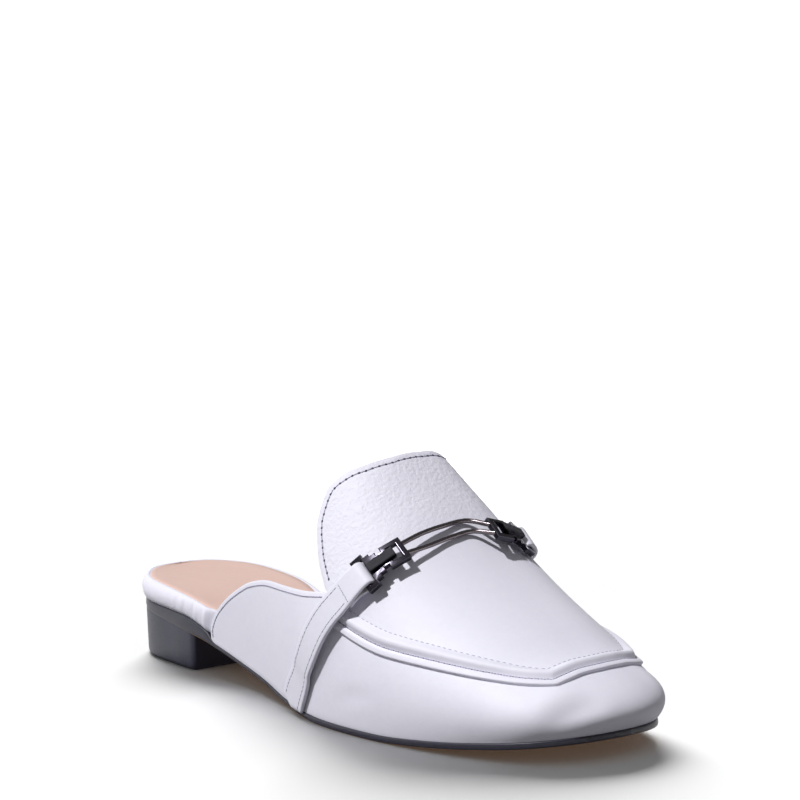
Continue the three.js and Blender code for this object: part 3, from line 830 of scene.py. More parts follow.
@dataclass
class SoleUnit:
    """Outsole, block heel, wrapped heel edge and sock."""

    last: Last
    palette: Palette
    heel_length: float = 58.0
    heel_edge: float = 2.2
    heel_proud: float = 0.25
    rand_puff: float = 1.7
    sock_heel_inset: float = 2.3
    sock_inset: float = 3.2
    sock_cup: float = 0.5
    rand_front: float = 84.0
    rand_grain: float = 0.25
    rand_inset: float = 0.45
    rand_tuck: float = 2.7
    seat_lift: float = 2.5
    seat_run: tuple[float, float] = (8.0, 66.0)
    seat_end: tuple[float, float] = (68.5, 71.5)
    tuck_run: tuple[float, float] = (66.0, 73.0)

    def _layer(
        self,
        x: Array,
        inset: Callable[[Array], Array],
        top: Callable[[Array], Array],
        bottom: Callable[[Array], Array],
        across: int = 16,
        cup: Callable[[Array], Array] = np.zeros_like,
        hollow: float = 3.0,
    ) -> Sheet:
        """Plan-shaped layer between a top and a bottom height."""
        t = np.linspace(0, 1, across + 1)
        y = {}
        for side in Side:
            y[side] = np.array([self.last.edge(side, at, float(inset(at)))[0] for at in x])
        wide = y[Side.LATERAL][:, None] + (y[Side.MEDIAL] - y[Side.LATERAL])[:, None] * t
        along = np.broadcast_to(x[:, None], wide.shape)
        raised = cup(x)[:, None] * np.abs(2 * t - 1) ** hollow
        outer = np.stack([along, wide, top(along) + raised], -1)
        inner = np.stack([along, wide, bottom(along)], -1)
        sheet = Sheet()
        sheet.add(outer, inner, swell=0.25)
        return sheet

    def _seat(self, x: Array | float) -> Array:
        """Rise of the wrapped edge's lower side above the sole."""
        return self.seat_lift * smooth_step(x, *self.seat_run)

    def rand_seat(self, x: Array | float) -> Array:
        """Rise of the sole's rim under the wrapped edge, falling away under the quarters."""
        return self._seat(x) * (1 - smooth_step(x, *self.seat_end))

    def _stations(self, low: float, high: float, count: int) -> Array:
        """Distances along the foot, closer at both ends."""
        return low + (high - low) * (1 - np.cos(np.linspace(0, math.pi, count + 1))) / 2

    def outsole(self) -> bpy.types.Object:
        """Thin sheet sole: black edge and top, tan tread."""
        last = self.last
        low = float(last.outline[:, 0].min())
        sheet = self._layer(
            self._stations(low, last.tip, 150),
            lambda x: 0.25,
            last.sole_top,
            last.sole_height,
            across=24,
            cup=self.rand_seat,
            hollow=9.0,
        )
        item = sheet.build("outsole_sheet", last, (self.palette.sole_edge, self.palette.tread), 5)
        return dress(item, "sole_black", "outsole")

    def heel(self) -> bpy.types.Object:
        """Black block heel: D plan, flat breast, rounded lower edge."""
        last = self.last
        turn = np.linspace(0, math.pi / 2, 40)
        x = self.heel_length * (1 - np.cos(turn))
        lateral = last.edge(Side.LATERAL, x, 0.0)[0] - self.heel_proud
        medial = last.edge(Side.MEDIAL, x, 0.0)[0] + self.heel_proud
        lateral[0] = medial[0] = 0.0
        x[0] -= self.heel_proud
        ring = np.vstack([np.stack([x, lateral], 1), np.stack([x, medial], 1)[:0:-1]])
        ring = self._round_corners(ring)
        centre = np.array([self.heel_length / 2, 0.0])
        outward = unit(ring - centre)
        levels = []
        for lift, inset in HEEL_SHOULDER:
            plan = ring - outward * inset
            levels.append(np.column_stack([plan, last.sole_height(plan[:, 0]) + lift]))
        for degrees in HEEL_EDGE_TURNS:
            turn = math.radians(degrees)
            height = 0.05 + self.heel_edge * (1 - math.sin(turn))
            plan = ring - outward * (0.15 + self.heel_edge * (1 - math.cos(turn)))
            levels.append(np.column_stack([plan, np.full(len(plan), height)]))
        return self._tower("heel_stack", levels)

    @staticmethod
    def _round_corners(ring: Array, passes: int = 3) -> Array:
        """Ring with the two breast corners rounded."""
        closed = np.vstack([ring, ring[:1]])
        dense = []
        for a, b in zip(closed[:-1], closed[1:]):
            pieces = max(1, int(np.linalg.norm(b - a) / 1.0))
            dense.extend(a + (b - a) * k / pieces for k in range(pieces))
        dense = np.array(dense)
        for _ in range(passes):
            dense = (np.roll(dense, 1, 0) + 2 * dense + np.roll(dense, -1, 0)) / 4
        return dense

    def _tower(self, name: str, levels: list[Array]) -> bpy.types.Object:
        """Closed solid from rings of equal counts, listed from the top down."""
        faces = tube_faces(len(levels), len(levels[0]))
        item = finish_object(name, self.last.to_row(np.vstack(levels)), faces, [self.palette.heel])
        mend(item.data)
        item.data.set_sharp_from_angle(angle=math.radians(40))
        return dress(item, "heel_black", "heel_block")

    def sock(self) -> bpy.types.Object:
        """Tan sock on its board, from the heel to the toe."""
        last = self.last
        narrower = self.sock_inset - self.sock_heel_inset
        sheet = self._layer(
            self._stations(self.sock_heel_inset, last.tip - self.sock_inset, 130),
            lambda at: self.sock_heel_inset + narrower * smooth_step(at, 58, 70),
            last.sock_height,
            lambda at: last.sock_height(at) - last.sock_thickness,
            across=20,
            cup=lambda at: np.full_like(at, self.sock_cup),
        )
        item = sheet.build("tan_sock", last, (self.palette.sock, self.palette.sock))
        return dress(item, "sock_tan", "insole")

    def rand(self) -> bpy.types.Object:
        """White leather rolled round the footbed's edge, puckered where it meets the quarters."""
        last = self.last
        stations = self._stations(0, self.rand_front, 190)
        rings = [self._rand_ring(Side.LATERAL, float(x)) for x in stations[::-1]]
        rings += [self._rand_ring(Side.MEDIAL, float(x)) for x in stations[1:]]
        grid = np.array(rings)
        points = grid.reshape(-1, 3)
        faces = tube_faces(*grid.shape[:2])
        grain = np.full(len(points), self.rand_grain)
        finishes = [self.palette.upper]
        item = finish_object("heel_edge_wrap", last.to_row(points), faces, finishes, grain=grain)
        mend(item.data)
        return dress(item, "rand_white", "heel_rand")

    def _rand_ring(self, side: Side, x: float) -> Array:
        """Closed section of the wrapped edge at one place, with its puckers."""
        last = self.last
        tuck = float(smooth_step(x, *self.tuck_run))
        inset = self.rand_inset + (last.upper_inset + self.rand_tuck) * tuck
        y, normal = last.edge(side, x, 0.0)
        base = np.array([x, float(y)])
        bottom = float(last.sole_top(x)) + float(self._seat(x)) - 0.15
        top = float(last.sock_height(x)) + 0.25
        puff = self.rand_puff * (1 - 0.55 * float(smooth_step(x, 30, 66))) * (1 - tuck) + 0.25
        phase = x * (1.0 if side is Side.LATERAL else 1.13)
        pucker = float(smooth_step(x, 36, 60)) * 0.42 + 0.08
        wave = math.sin(phase * 1.15) + 0.6 * math.sin(phase * 2.07 + 1.3) + 0.4 * math.sin(phase * 0.53)
        points = []
        for out, up in RAND_SECTION:
            edge_out = out * puff if out > 0 else out
            lump = pucker * wave * 0.5 * math.sin(math.pi * min(max(up, 0), 1)) * (out > 0.1)
            lump *= 1 - 0.5 * tuck
            place = base + normal * (edge_out + lump - inset)
            points.append([place[0], place[1], bottom + (top - bottom) * up])
        return np.array(points)


# Section of the wrapped edge: out in shares of its puff (negative: millimetres inwards) and up
# from 0 to 1.
RAND_SECTION = (
    (-6.0, 0.0),
    (-0.2, 0.0),
    (0.35, 0.06),
    (0.75, 0.2),
    (0.96, 0.36),
    (1.0, 0.52),
    (0.9, 0.68),
    (0.62, 0.83),
    (0.22, 0.95),
    (-0.35, 1.02),
    (-1.1, 1.03),
    (-1.9, 0.95),
    (-6.0, 0.8),
)


# ---- Stitching ------------------------------------------------------------------------------
@dataclass(frozen=True)
class Stitch:
    """One kind of stitch, in millimetres."""

    pitch: float = 2.3
    length: float = 1.7
    radius: float = 0.2
    dip: float = 0.16
    hole: float = 0.3
    wobble: float = 0.06


class Tree:
    """Geometry nodes that set a stitch and a dark ball of painted needle-hole shade on every point."""

    INPUTS = ("Length", "Radius", "Dip", "Hole", "Pitch", "Wobble")

    def __init__(self, palette: Palette, seed: int = 11) -> None:
        """Lays out the nodes."""
        self.tree = bpy.data.node_groups.new("stitching", "GeometryNodeTree")
        face = self.tree.interface
        face.new_socket("Geometry", in_out="INPUT", socket_type="NodeSocketGeometry")
        for name in self.INPUTS:
            face.new_socket(name, in_out="INPUT", socket_type="NodeSocketFloat")
        seed_input = face.new_socket("Seed", in_out="INPUT", socket_type="NodeSocketInt")
        seed_input.default_value = seed
        face.new_socket("Geometry", in_out="OUTPUT", socket_type="NodeSocketGeometry")
        start = self.tree.nodes.new("NodeGroupInput")
        end = self.tree.nodes.new("NodeGroupOutput")
        thread = self._thread(start, palette)
        hole = self._hole(start, palette)
        joined = self._node("GeometryNodeJoinGeometry")
        self._link(thread, joined.inputs[0])
        self._link(hole, joined.inputs[0])
        placed = self._node("GeometryNodeInstanceOnPoints")
        self._link(start.outputs["Geometry"], placed.inputs["Points"])
        self._link(joined.outputs[0], placed.inputs["Instance"])
        self._link(self._rotation(start), placed.inputs["Rotation"])
        real = self._node("GeometryNodeRealizeInstances")
        self._link(placed.outputs[0], real.inputs[0])
        self._link(real.outputs[0], end.inputs[0])

    def _node(self, kind: str, **settings: object) -> bpy.types.Node:
        """New node with its settings."""
        node = self.tree.nodes.new(kind)
        for key, value in settings.items():
            setattr(node, key, value)
        return node

    def _link(self, output: bpy.types.NodeSocket, socket: bpy.types.NodeSocket) -> None:
        """Joins two sockets."""
        self.tree.links.new(output, socket)

    def _scaled(self, output: bpy.types.NodeSocket, factor: float) -> bpy.types.NodeSocket:
        """A value times a constant."""
        node = self._node("ShaderNodeMath", operation="MULTIPLY")
        self._link(output, node.inputs[0])
        node.inputs[1].default_value = factor
        return node.outputs[0]

    def _vector(self, x: bpy.types.NodeSocket | None, z: bpy.types.NodeSocket) -> bpy.types.NodeSocket:
        """Vector from values for X and Z."""
        node = self._node("ShaderNodeCombineXYZ")
        if x is not None:
            self._link(x, node.inputs["X"])
        self._link(z, node.inputs["Z"])
        return node.outputs[0]

    def _painted(self, geometry: bpy.types.NodeSocket, material: bpy.types.Material) -> bpy.types.NodeSocket:
        """Geometry with a finish."""
        node = self._node("GeometryNodeSetMaterial")
        self._link(geometry, node.inputs["Geometry"])
        node.inputs["Material"].default_value = material
        return node.outputs[0]

    def _thread(self, start: bpy.types.Node, palette: Palette) -> bpy.types.NodeSocket:
        """Arched thread whose ends go down into the leather."""
        half = self._scaled(start.outputs["Length"], 0.5)
        back = self._scaled(start.outputs["Length"], -0.5)
        down = self._scaled(start.outputs["Dip"], -1.0)
        arch = self._node("GeometryNodeCurveQuadraticBezier")
        arch.inputs["Resolution"].default_value = 6
        self._link(self._vector(back, down), arch.inputs["Start"])
        self._link(self._vector(None, self._scaled(start.outputs["Dip"], 1.7)), arch.inputs["Middle"])
        self._link(self._vector(half, down), arch.inputs["End"])
        ring = self._node("GeometryNodeCurvePrimitiveCircle")
        ring.inputs["Resolution"].default_value = 7
        self._link(start.outputs["Radius"], ring.inputs["Radius"])
        tube = self._node("GeometryNodeCurveToMesh")
        self._link(arch.outputs[0], tube.inputs["Curve"])
        self._link(ring.outputs[0], tube.inputs["Profile Curve"])
        tube.inputs["Fill Caps"].default_value = True
        return self._painted(tube.outputs[0], palette.thread)

    def _hole(self, start: bpy.types.Node, palette: Palette) -> bpy.types.NodeSocket:
        """Dark ball at the thread's rear end: painted shade inside the needle hole."""
        ball = self._node("GeometryNodeMeshIcoSphere")
        ball.inputs["Subdivisions"].default_value = 2
        self._link(start.outputs["Hole"], ball.inputs["Radius"])
        moved = self._node("GeometryNodeTransform")
        self._link(ball.outputs["Mesh"], moved.inputs["Geometry"])
        back = self._scaled(start.outputs["Pitch"], -0.5)
        self._link(self._vector(back, self._scaled(start.outputs["Dip"], -0.55)), moved.inputs["Translation"])
        moved.inputs["Scale"].default_value = (1.3, 1.0, 0.6)
        return self._painted(moved.outputs[0], palette.needle_hole)

    def _rotation(self, start: bpy.types.Node) -> bpy.types.NodeSocket:
        """Each point's own turn, with a little wobble."""
        turn = self._node("GeometryNodeInputNamedAttribute", data_type="FLOAT_VECTOR")
        turn.inputs["Name"].default_value = "turn"
        base = self._node("FunctionNodeEulerToRotation")
        self._link(turn.outputs[0], base.inputs[0])
        chance = self._node("FunctionNodeRandomValue", data_type="FLOAT")
        sockets = {socket.identifier: socket for socket in chance.inputs}
        self._link(self._scaled(start.outputs["Wobble"], -1.0), sockets["Min_001"])
        self._link(start.outputs["Wobble"], sockets["Max_001"])
        self._link(start.outputs["Seed"], sockets["Seed"])
        value = next(socket for socket in chance.outputs if socket.identifier == "Value_001")
        small = self._node("FunctionNodeEulerToRotation")
        self._link(self._vector(None, value), small.inputs[0])
        both = self._node("FunctionNodeRotateRotation", rotation_space="LOCAL")
        self._link(base.outputs[0], both.inputs["Rotation"])
        self._link(small.outputs[0], both.inputs["Rotate By"])
        return both.outputs[0]


@dataclass
class Seamstress:
    """Sews rows of stitches and makes each group one piece."""

    last: Last
    palette: Palette
    reach: float = 0.2
    tree: Tree = field(init=False)

    def __post_init__(self) -> None:
        """Makes the shared nodes."""
        self.tree = Tree(self.palette)

    def sew(self, name: str, slot: str, stitch: Stitch, rows: Sequence[tuple[Array, Array]]) -> None:
        """Makes one piece from rows of stitches.

        Args:
            name: the piece's name.
            slot: not used.
            stitch: kind of stitch.
            rows: points and normals along each row, in millimetres.
        """
        places, turns = [], []
        for points, normals in rows:
            count = max(2, round(arc_length(points)[-1] / stitch.pitch))
            middle = np.arange(0.5, count)
            at, up = resample(points, normals, middle / count)
            ahead, _ = resample(points, normals, np.clip((middle + self.reach) / count, 0, 1))
            behind, _ = resample(points, normals, np.clip((middle - self.reach) / count, 0, 1))
            along = unit(ahead - behind)
            across = unit(np.cross(up, along))
            up = np.cross(along, across)
            for a, b, c in zip(along, across, up):
                turns.append(Matrix((a, b, c)).transposed().to_euler())
            places.append(at)
        mesh = bpy.data.meshes.new(name)
        mesh.from_pydata(self.last.to_row(np.vstack(places)).tolist(), [], [])
        layer = mesh.attributes.new("turn", "FLOAT_VECTOR", "POINT")
        layer.data.foreach_set("vector", np.array([tuple(turn) for turn in turns], np.float32).ravel())
        item = bpy.data.objects.new(name, mesh)
        bpy.context.scene.collection.objects.link(item)
        self._evaluate(item, stitch)
        dress(item, slot)

    def _evaluate(self, item: bpy.types.Object, stitch: Stitch) -> None:
        """Turns the points into stitches, as a plain mesh."""
        modifier = item.modifiers.new("stitching", "NODES")
        modifier.node_group = self.tree.tree
        sizes = {
            "Length": stitch.length * MM,
            "Radius": stitch.radius * MM,
            "Dip": stitch.dip * MM,
            "Hole": stitch.hole * MM,
            "Pitch": stitch.pitch * MM,
            "Wobble": stitch.wobble,
        }
        for socket in self.tree.tree.interface.items_tree:
            if socket.name in sizes and socket.in_out == "INPUT":
                modifier[socket.identifier] = sizes[socket.name]
        item.update_tag()
        graph = bpy.context.evaluated_depsgraph_get()
        made = bpy.data.meshes.new_from_object(item.evaluated_get(graph), depsgraph=graph)
        item.modifiers.clear()
        points, item.data = item.data, made
        bpy.data.meshes.remove(points)
        item.data.shade_smooth()


def resample(points: Array, normals: Array, at: Array) -> tuple[Array, Array]:
    """Points and normals at shares of a line's length."""
    length = arc_length(points)
    where = at * length[-1]
    place = np.stack([np.interp(where, length, points[:, k]) for k in range(3)], 1)
    normal = np.stack([np.interp(where, length, normals[:, k]) for k in range(3)], 1)
    return place, unit(normal)


# ---- Upper ----------------------------------------------------------------------------------
class Relief(NamedTuple):
    """Height of a section at a distance from its edge."""

    x: float
    z: float


class Trough(NamedTuple):
    """A soft hollow (or, with a negative depth, a ridge) along places of one side."""

    side: Side
    depth: float
    width: float
    places: tuple[Place, ...]


# Edge of the apron over the vamp: lateral side, front (crossing the toe tip) and medial side.
APRON_LATERAL = table(
    Place,
    (167, 0.243), (171.9, 0.246), (182.9, 0.256), (191.8, 0.27), (199.8, 0.293),
    (209.8, 0.326), (219.2, 0.36), (227.2, 0.393), (237.1, 0.445), (246.6, 0.496),
    (253.3, 0.534),
)
APRON_FRONT = (Place(256.4, 0.615), Place(259.9, 0.695))
APRON_FRONT_MEDIAL = (Place(261.7, 0.725), Place(257.2, 0.674), Place(252, 0.58))
APRON_MEDIAL = table(
    Place,
    (245.6, 0.455), (240, 0.395), (230, 0.34), (220, 0.3), (210, 0.268), (200, 0.244),
    (190, 0.228), (180, 0.22), (168, 0.218),
)

# Section of the apron's border: flange, stitch groove, padded roll, inner stitch groove.
APRON_RELIEF = table(
    Relief,
    (0, 1.25), (1.4, 1.3), (2.3, 0.6), (3.0, 1.1), (3.9, 1.9), (4.8, 2.1), (5.9, 1.5),
    (6.9, 0.75), (7.5, 0.4), (8.1, 0.44), (9.2, 0.38), (10.4, 0.3),
)

TROUGHS = (
    Trough(
        Side.LATERAL,
        1.3,
        4.8,
        (Place(249, 0.1), Place(253, 0.15), Place(256.5, 0.22), Place(259.9, 0.32), Place(261.7, 0.4)),
    ),
    Trough(Side.LATERAL, -0.5, 5.0, (Place(247, 0.36), Place(252, 0.41), Place(256, 0.47), Place(260, 0.56))),
    Trough(Side.MEDIAL, -0.9, 9.0, (Place(260, 0.36), Place(255, 0.33), Place(247, 0.3))),
    Trough(Side.LATERAL, 0.25, 3.0, (Place(170, 0.03), Place(182, 0.08), Place(196, 0.11))),
    Trough(Side.MEDIAL, 0.35, 4.0, (Place(170, 0.05), Place(182, 0.15), Place(190, 0.2))),
)


APRON_STITCHES = {
    "outer": Stitch(pitch=2.0, length=1.2, radius=0.26, hole=0.36),
    "inner": Stitch(pitch=2.1, length=1.4, radius=0.12, hole=0.1),
}
TONGUE_STITCH = Stitch(pitch=2.5, length=1.7, hole=0.46)
TOPLINE_STITCH = Stitch(pitch=1.7, length=0.95, radius=0.25, hole=0.24)


@dataclass
class Track:
    """A line on the upper; columns past 1 are on the medial side."""

    last: Last
    u: Array
    rise: Array
    inward: int = 1

    def points(self, lift: Array | float = 0.0) -> Array:
        """Points of the line, a lift above the surface."""
        return self.last.offset(Side.LATERAL, self.u, self.rise, lift)

    def normals(self) -> Array:
        """Outward normals along the line."""
        return self.last.normal(Side.LATERAL, self.u, self.rise)

    def drawn_in(self, distance: float) -> "Track":
        """The line moved along the surface, with its corners kept sharp."""
        points, normal = self.points(), self.normals()
        step = unit(np.diff(points, axis=0))
        before, after = np.vstack([step[:1], step]), np.vstack([step, step[-1:]])
        a = unit(np.cross(normal, before)) * self.inward
        b = unit(np.cross(normal, after)) * self.inward
        mitre = (a + b) / (1 + (a * b).sum(1, keepdims=True))
        u, rise = self.last.beside(Side.LATERAL, self.u, self.rise, mitre * distance)
        return Track(self.last, u, rise, self.inward)

    def spread(self, corners: Sequence[int]) -> "Track":
        """The line with its points spread evenly between corners."""
        points = self.points()
        length = arc_length(points)
        stops = [0, *corners, len(length) - 1]
        where = length.copy()
        for a, b in zip(stops[:-1], stops[1:]):
            where[a : b + 1] = np.linspace(length[a], length[b], b - a + 1)
        u, rise = np.interp(where, length, self.u), np.interp(where, length, self.rise)
        return Track(self.last, u, rise, self.inward)


def nearest(points: Array, line: Array) -> tuple[Array, Array]:
    """Distance from each point to a line, and where on the line it is nearest."""
    flat = points.reshape(-1, 3)
    best = np.full(len(flat), np.inf)
    where = np.zeros(len(flat))
    for i, (a, b) in enumerate(zip(line[:-1], line[1:])):
        step = b - a
        t = np.clip((flat - a) @ step / max(step @ step, 1e-12), 0, 1)
        gap = np.linalg.norm(flat - a - t[:, None] * step, axis=1)
        closer = gap < best
        best, where = np.where(closer, gap, best), np.where(closer, i + t, where)
    return best.reshape(points.shape[:-1]), where.reshape(points.shape[:-1])


@dataclass
class Upper:
    """Vamp and quarters with the apron, the edge stitching and the side straps."""

    last: Last
    palette: Palette
    seamstress: Seamstress
    wall: float = 1.4
    plug_lift: float = 0.4
    edge_row: float = 2.5
    topline_row: float = 1.35
    ring_step: float = 0.4
    rings: int = 26
    groove_depth: float = 0.07
    groove_width: float = 0.6
    rim_depth: float = 0.15
    trough_fade: float = 0.45
    apron_rows: tuple[float, float] = (2.4, 7.6)
    apron_fade: tuple[float, float] = (165.0, 171.0)
    apron_sewn_from: float = 169.0
    border: Track = field(init=False)
    corners: tuple[int, int] = field(init=False)

    def __post_init__(self) -> None:
        """Lays the apron's edge on the surface."""
        column = self.last.column_at
        lateral = [(column(p.x), p.rise) for p in APRON_LATERAL]
        medial = [(2 - column(p.x), p.rise) for p in APRON_MEDIAL]
        front = [lateral[-1], *((column(p.x), p.rise) for p in APRON_FRONT)]
        front += [*((2 - column(p.x), p.rise) for p in APRON_FRONT_MEDIAL), medial[0]]
        parts, corners = [], []
        for span, count in zip((lateral, front, medial), (150, 70, 150)):
            dense = catmull(np.array(span), 24)
            points = self.last.surface(Side.LATERAL, dense[:, 0], dense[:, 1])
            length = arc_length(points)
            at = np.linspace(0, length[-1], count + 1)
            even = np.stack([np.interp(at, length, dense[:, k]) for k in (0, 1)], 1)
            parts.append(even if not parts else even[1:])
            corners.append(sum(len(part) for part in parts) - 1)
        u, rise = np.vstack(parts).T
        self.corners = (corners[0], corners[1])
        self.border = Track(self.last, u, rise, inward=1)
        self.border_points = self.border.points()
        self.border_inward = unit(self.border.drawn_in(1.0).points() - self.border_points)
        self.edge_lines = self._edge_lines()
        self.trough_lines = [
            self.last.surface(trough.side, self.last.column_at(line[:, 0]), line[:, 1])
            for trough in TROUGHS
            for line in [catmull(np.array(trough.places), 8)]
        ]

    def _edge_lines(self) -> dict[str, Track]:
        """Free edges: the tongue's, and each quarter's topline."""
        last = self.last
        climb = np.linspace(0, 1, 80)
        column = last.column_at(last.tongue_x(climb))
        lateral = last.split_rise(Side.LATERAL, 0.0) * (1 - climb) + climb
        medial = last.split_rise(Side.MEDIAL, 0.0) * (1 - climb) + climb
        tongue = Track(
            last, np.r_[column, column[-2::-1]], np.r_[lateral, 2 - medial[-2::-1]], inward=-1
        )
        lines = {"tongue": tongue}
        x = np.linspace(last.quarter_start, last.throat, 90)
        start = last.quarter_start
        for side, name in ((Side.LATERAL, "lateral"), (Side.MEDIAL, "medial")):
            u = last.column_at(x)
            rise = last.rise_at(side, u, last.topline(x))
            foot = np.linspace(0, 1, 12)[:-1]
            u = np.r_[np.full(len(foot), last.column_at(start)), u]
            rise = np.r_[foot * rise[0], rise]
            if side is Side.MEDIAL:
                u = 2 - u
            lines[name] = Track(last, u, rise, inward=-1 if side is Side.LATERAL else 1)
        return lines

    def skin(self, base: Array) -> Array:
        """How far the finished surface stands off the last's, at points of it."""
        gap, where = nearest(base, self.border_points)
        index = where.astype(int)
        on = self.border_points[index]
        inside = ((base - on) * self.border_inward[index]).sum(-1) > 0
        depth = np.where(inside, gap, 0.0)
        lift = self.plug_lift * smooth_step(depth, 1.5, 8) * smooth_step(base[..., 0], 160, 178)
        for name, track in self.edge_lines.items():
            row = self.edge_row if name == "tongue" else self.topline_row
            gap, _ = nearest(base, track.points())
            groove = self.groove_depth * np.exp(-(((gap - row) / self.groove_width) ** 2))
            rim = self.rim_depth * np.exp(-((gap / self.groove_width) ** 2))
            lift = lift - groove - rim
        for trough, line in zip(TROUGHS, self.trough_lines):
            gap, where = nearest(base, line)
            inward = np.minimum(where, len(line) - 1 - where)
            ends = np.clip(inward / (len(line) * self.trough_fade), 0, 1)
            lift = lift - trough.depth * np.exp(-((gap / trough.width) ** 2)) * smooth_step(ends, 0, 1)
        return lift

    def _wall(self, side: Side, u: Array, rise: Array) -> tuple[Array, Array, Array]:
        """Outer and inner points of the wall, and how crinkled it is."""
        base = self.last.surface(side, u, rise)
        normal = self.last.normal(side, u, rise)
        lift = self.skin(base)
        lift = np.where(np.broadcast_to(rise, lift.shape) == 0, 0.0, lift)
        outer = base + normal * lift[..., None]
        inner = base - normal * self.wall
        level = np.broadcast_to(rise, lift.shape) == 0
        inner[..., 2] = np.where(level, outer[..., 2], inner[..., 2])
        split = self.last.split_rise(side, 0.0)
        grain = (1 - smooth_step(base[..., 0], 168, 196)) * smooth_step(rise, split, split + 0.05)
        return outer, inner, 0.06 + 0.94 * grain

    def shell(self) -> None:
        """One hollow shell: vamp, plug, tongue and quarters."""
        last = self.last
        sheet = Sheet()
        for side in Side:
            low, high = fractions(36), fractions(84)
            u = fractions(132)[:, None]
            rear = float(last.column_at(last.quarter_start))
            back = rear * (1 - fractions(110, 0.9))[:, None]
            top = last.rise_at(side, back[:, 0], last.topline(last.column_x(back[:, 0])))
            top[-1] = last.split_rise(side, 0.0)
            split = last.split_rise(side, u)
            reach = last.column_at(last.tongue_x(high))[None, :] * (1 - fractions(28))[:, None]
            base = last.split_rise(side, 0.0)
            patches = (
                (back, top[:, None] * low),
                (u, split * low),
                (u, split + (1 - split) * high),
                (reach, base + (1 - base) * high[None, :]),
            )
            for columns, rises in patches:
                columns, rises = np.broadcast_arrays(columns, rises)
                outer, inner, grain = self._wall(side, columns, rises)
                sheet.add(outer, inner, flipped=side is Side.MEDIAL, grain=grain, swell=0.9)
        item = sheet.build("shoe_upper", last, (self.palette.upper, self.palette.lining))
        dress(item, "upper_white", "upper")

    def apron(self) -> None:
        """Apron border laid over the vamp: flange, padded roll and the seam to the plug."""
        relief = SmoothTable(APRON_RELIEF, "z")
        track = self.border
        rows_out, rows_in, tracks = [], [], []
        for ring in range(self.rings + 1):
            distance = ring * self.ring_step
            points, normal = track.points(), track.normals()
            fade = smooth_step(points[:, 0], *self.apron_fade)[:, None]
            height = float(relief(distance)) * fade
            rows_out.append(points + normal * height)
            rows_in.append(points - normal * 0.5)
            tracks.append(track)
            track = track.drawn_in(self.ring_step).spread(self.corners)
        outer, inner = np.stack(rows_out), np.stack(rows_in)
        sheet = Sheet()
        sheet.add(outer, inner, flipped=True, grain=0.08, swell=0.45)
        item = sheet.build("apron_border", self.last, (self.palette.upper, self.palette.lining), 8)
        mend(item.data)
        dress(item, "upper_white")
        rows = []
        for distance in self.apron_rows:
            ring = tracks[round(distance / self.ring_step)]
            height = float(relief(distance)) + 0.02
            points = ring.points(height)
            keep = points[:, 0] > self.apron_sewn_from
            rows.append((points[keep], ring.normals()[keep]))
        for (name, stitch), row in zip(APRON_STITCHES.items(), rows):
            self.seamstress.sew(f"apron_stitches_{name}", "upper_white", stitch, [row])

    def edge_stitches(self) -> None:
        """Stitch rows beside the tongue's edge and the toplines."""
        for name, track in self.edge_lines.items():
            distance, stitch = self.topline_row, TOPLINE_STITCH
            if name == "tongue":
                distance, stitch = self.edge_row, TONGUE_STITCH
            for _ in range(4):
                track = track.drawn_in(distance / 4)
            points = track.points(-0.02)
            keep = slice(2, -2) if name == "tongue" else slice(3, -2)
            rows = [(points[keep], track.normals()[keep])]
            self.seamstress.sew(f"{name}_edge_stitches", "upper_white", stitch, rows)

    def build(self) -> None:
        """Builds every leather piece above the sole."""
        self.shell()
        self.apron()
        self.edge_stitches()
        for side in Side:
            Strap(self.last, self.palette, self.seamstress, side).build()


# ---- Straps and bit -------------------------------------------------------------------------
class Stand(NamedTuple):
    """A place on the upper and the lift of something over it."""

    x: float
    rise: float
    lift: float


STRAP_ROUTES = {
    Side.LATERAL: (
        Stand(141.5, 0, 0.3),
        Stand(148.5, 0.04, 0.4),
        Stand(154.7, 0.093, 1.2),
        Stand(159.7, 0.144, 1.9),
        Stand(165.5, 0.221, 2.6),
        Stand(169.9, 0.286, 3.1),
        Stand(173.3, 0.343, 3.4),
        Stand(175.8, 0.399, 3.5),
    ),
    Side.MEDIAL: (
        Stand(147, 0, 0.3),
        Stand(153, 0.05, 0.4),
        Stand(160, 0.13, 1),
        Stand(167, 0.23, 1.5),
        Stand(174, 0.35, 1.9),
        Stand(180, 0.46, 2.2),
        Stand(184.5, 0.56, 2.4),
        Stand(187.5, 0.65, 2.5),
    ),
}
LINK_STANDS = {
    Side.LATERAL: (Stand(178.5, 0.469, 4.5), Stand(182.6, 0.61, 5.3)),
    Side.MEDIAL: (Stand(190.5, 0.78, 3.2), Stand(190.5, 0.96, 5.6)),
}
ROD_ROUTES = {
    "front": (Stand(186.8, 0.747, 3), Stand(187.1, 0.878, 1.8), Stand(187.3, 0.962, 2.1)),
    "rear": (Stand(182.7, 0.754, 3.5), Stand(183.2, 0.86, 2.4), Stand(183.4, 0.971, 2)),
}


class LinkStep(NamedTuple):
    """One step of a link's outline, along it."""

    start: float
    end: float
    half: float


LINK_STEPS = table(
    LinkStep,
    (-2, 2.8, 7), (2.8, 4.8, 5.2), (4.8, 6.8, 4.1), (6.8, 8.6, 2.9), (8.6, 16.2, 4.7),
)
STRAP_SLOT = LinkStep(0.1, 1.9, 5.1)
FRAME_WINDOW = LinkStep(10.5, 14.2, 2.8)


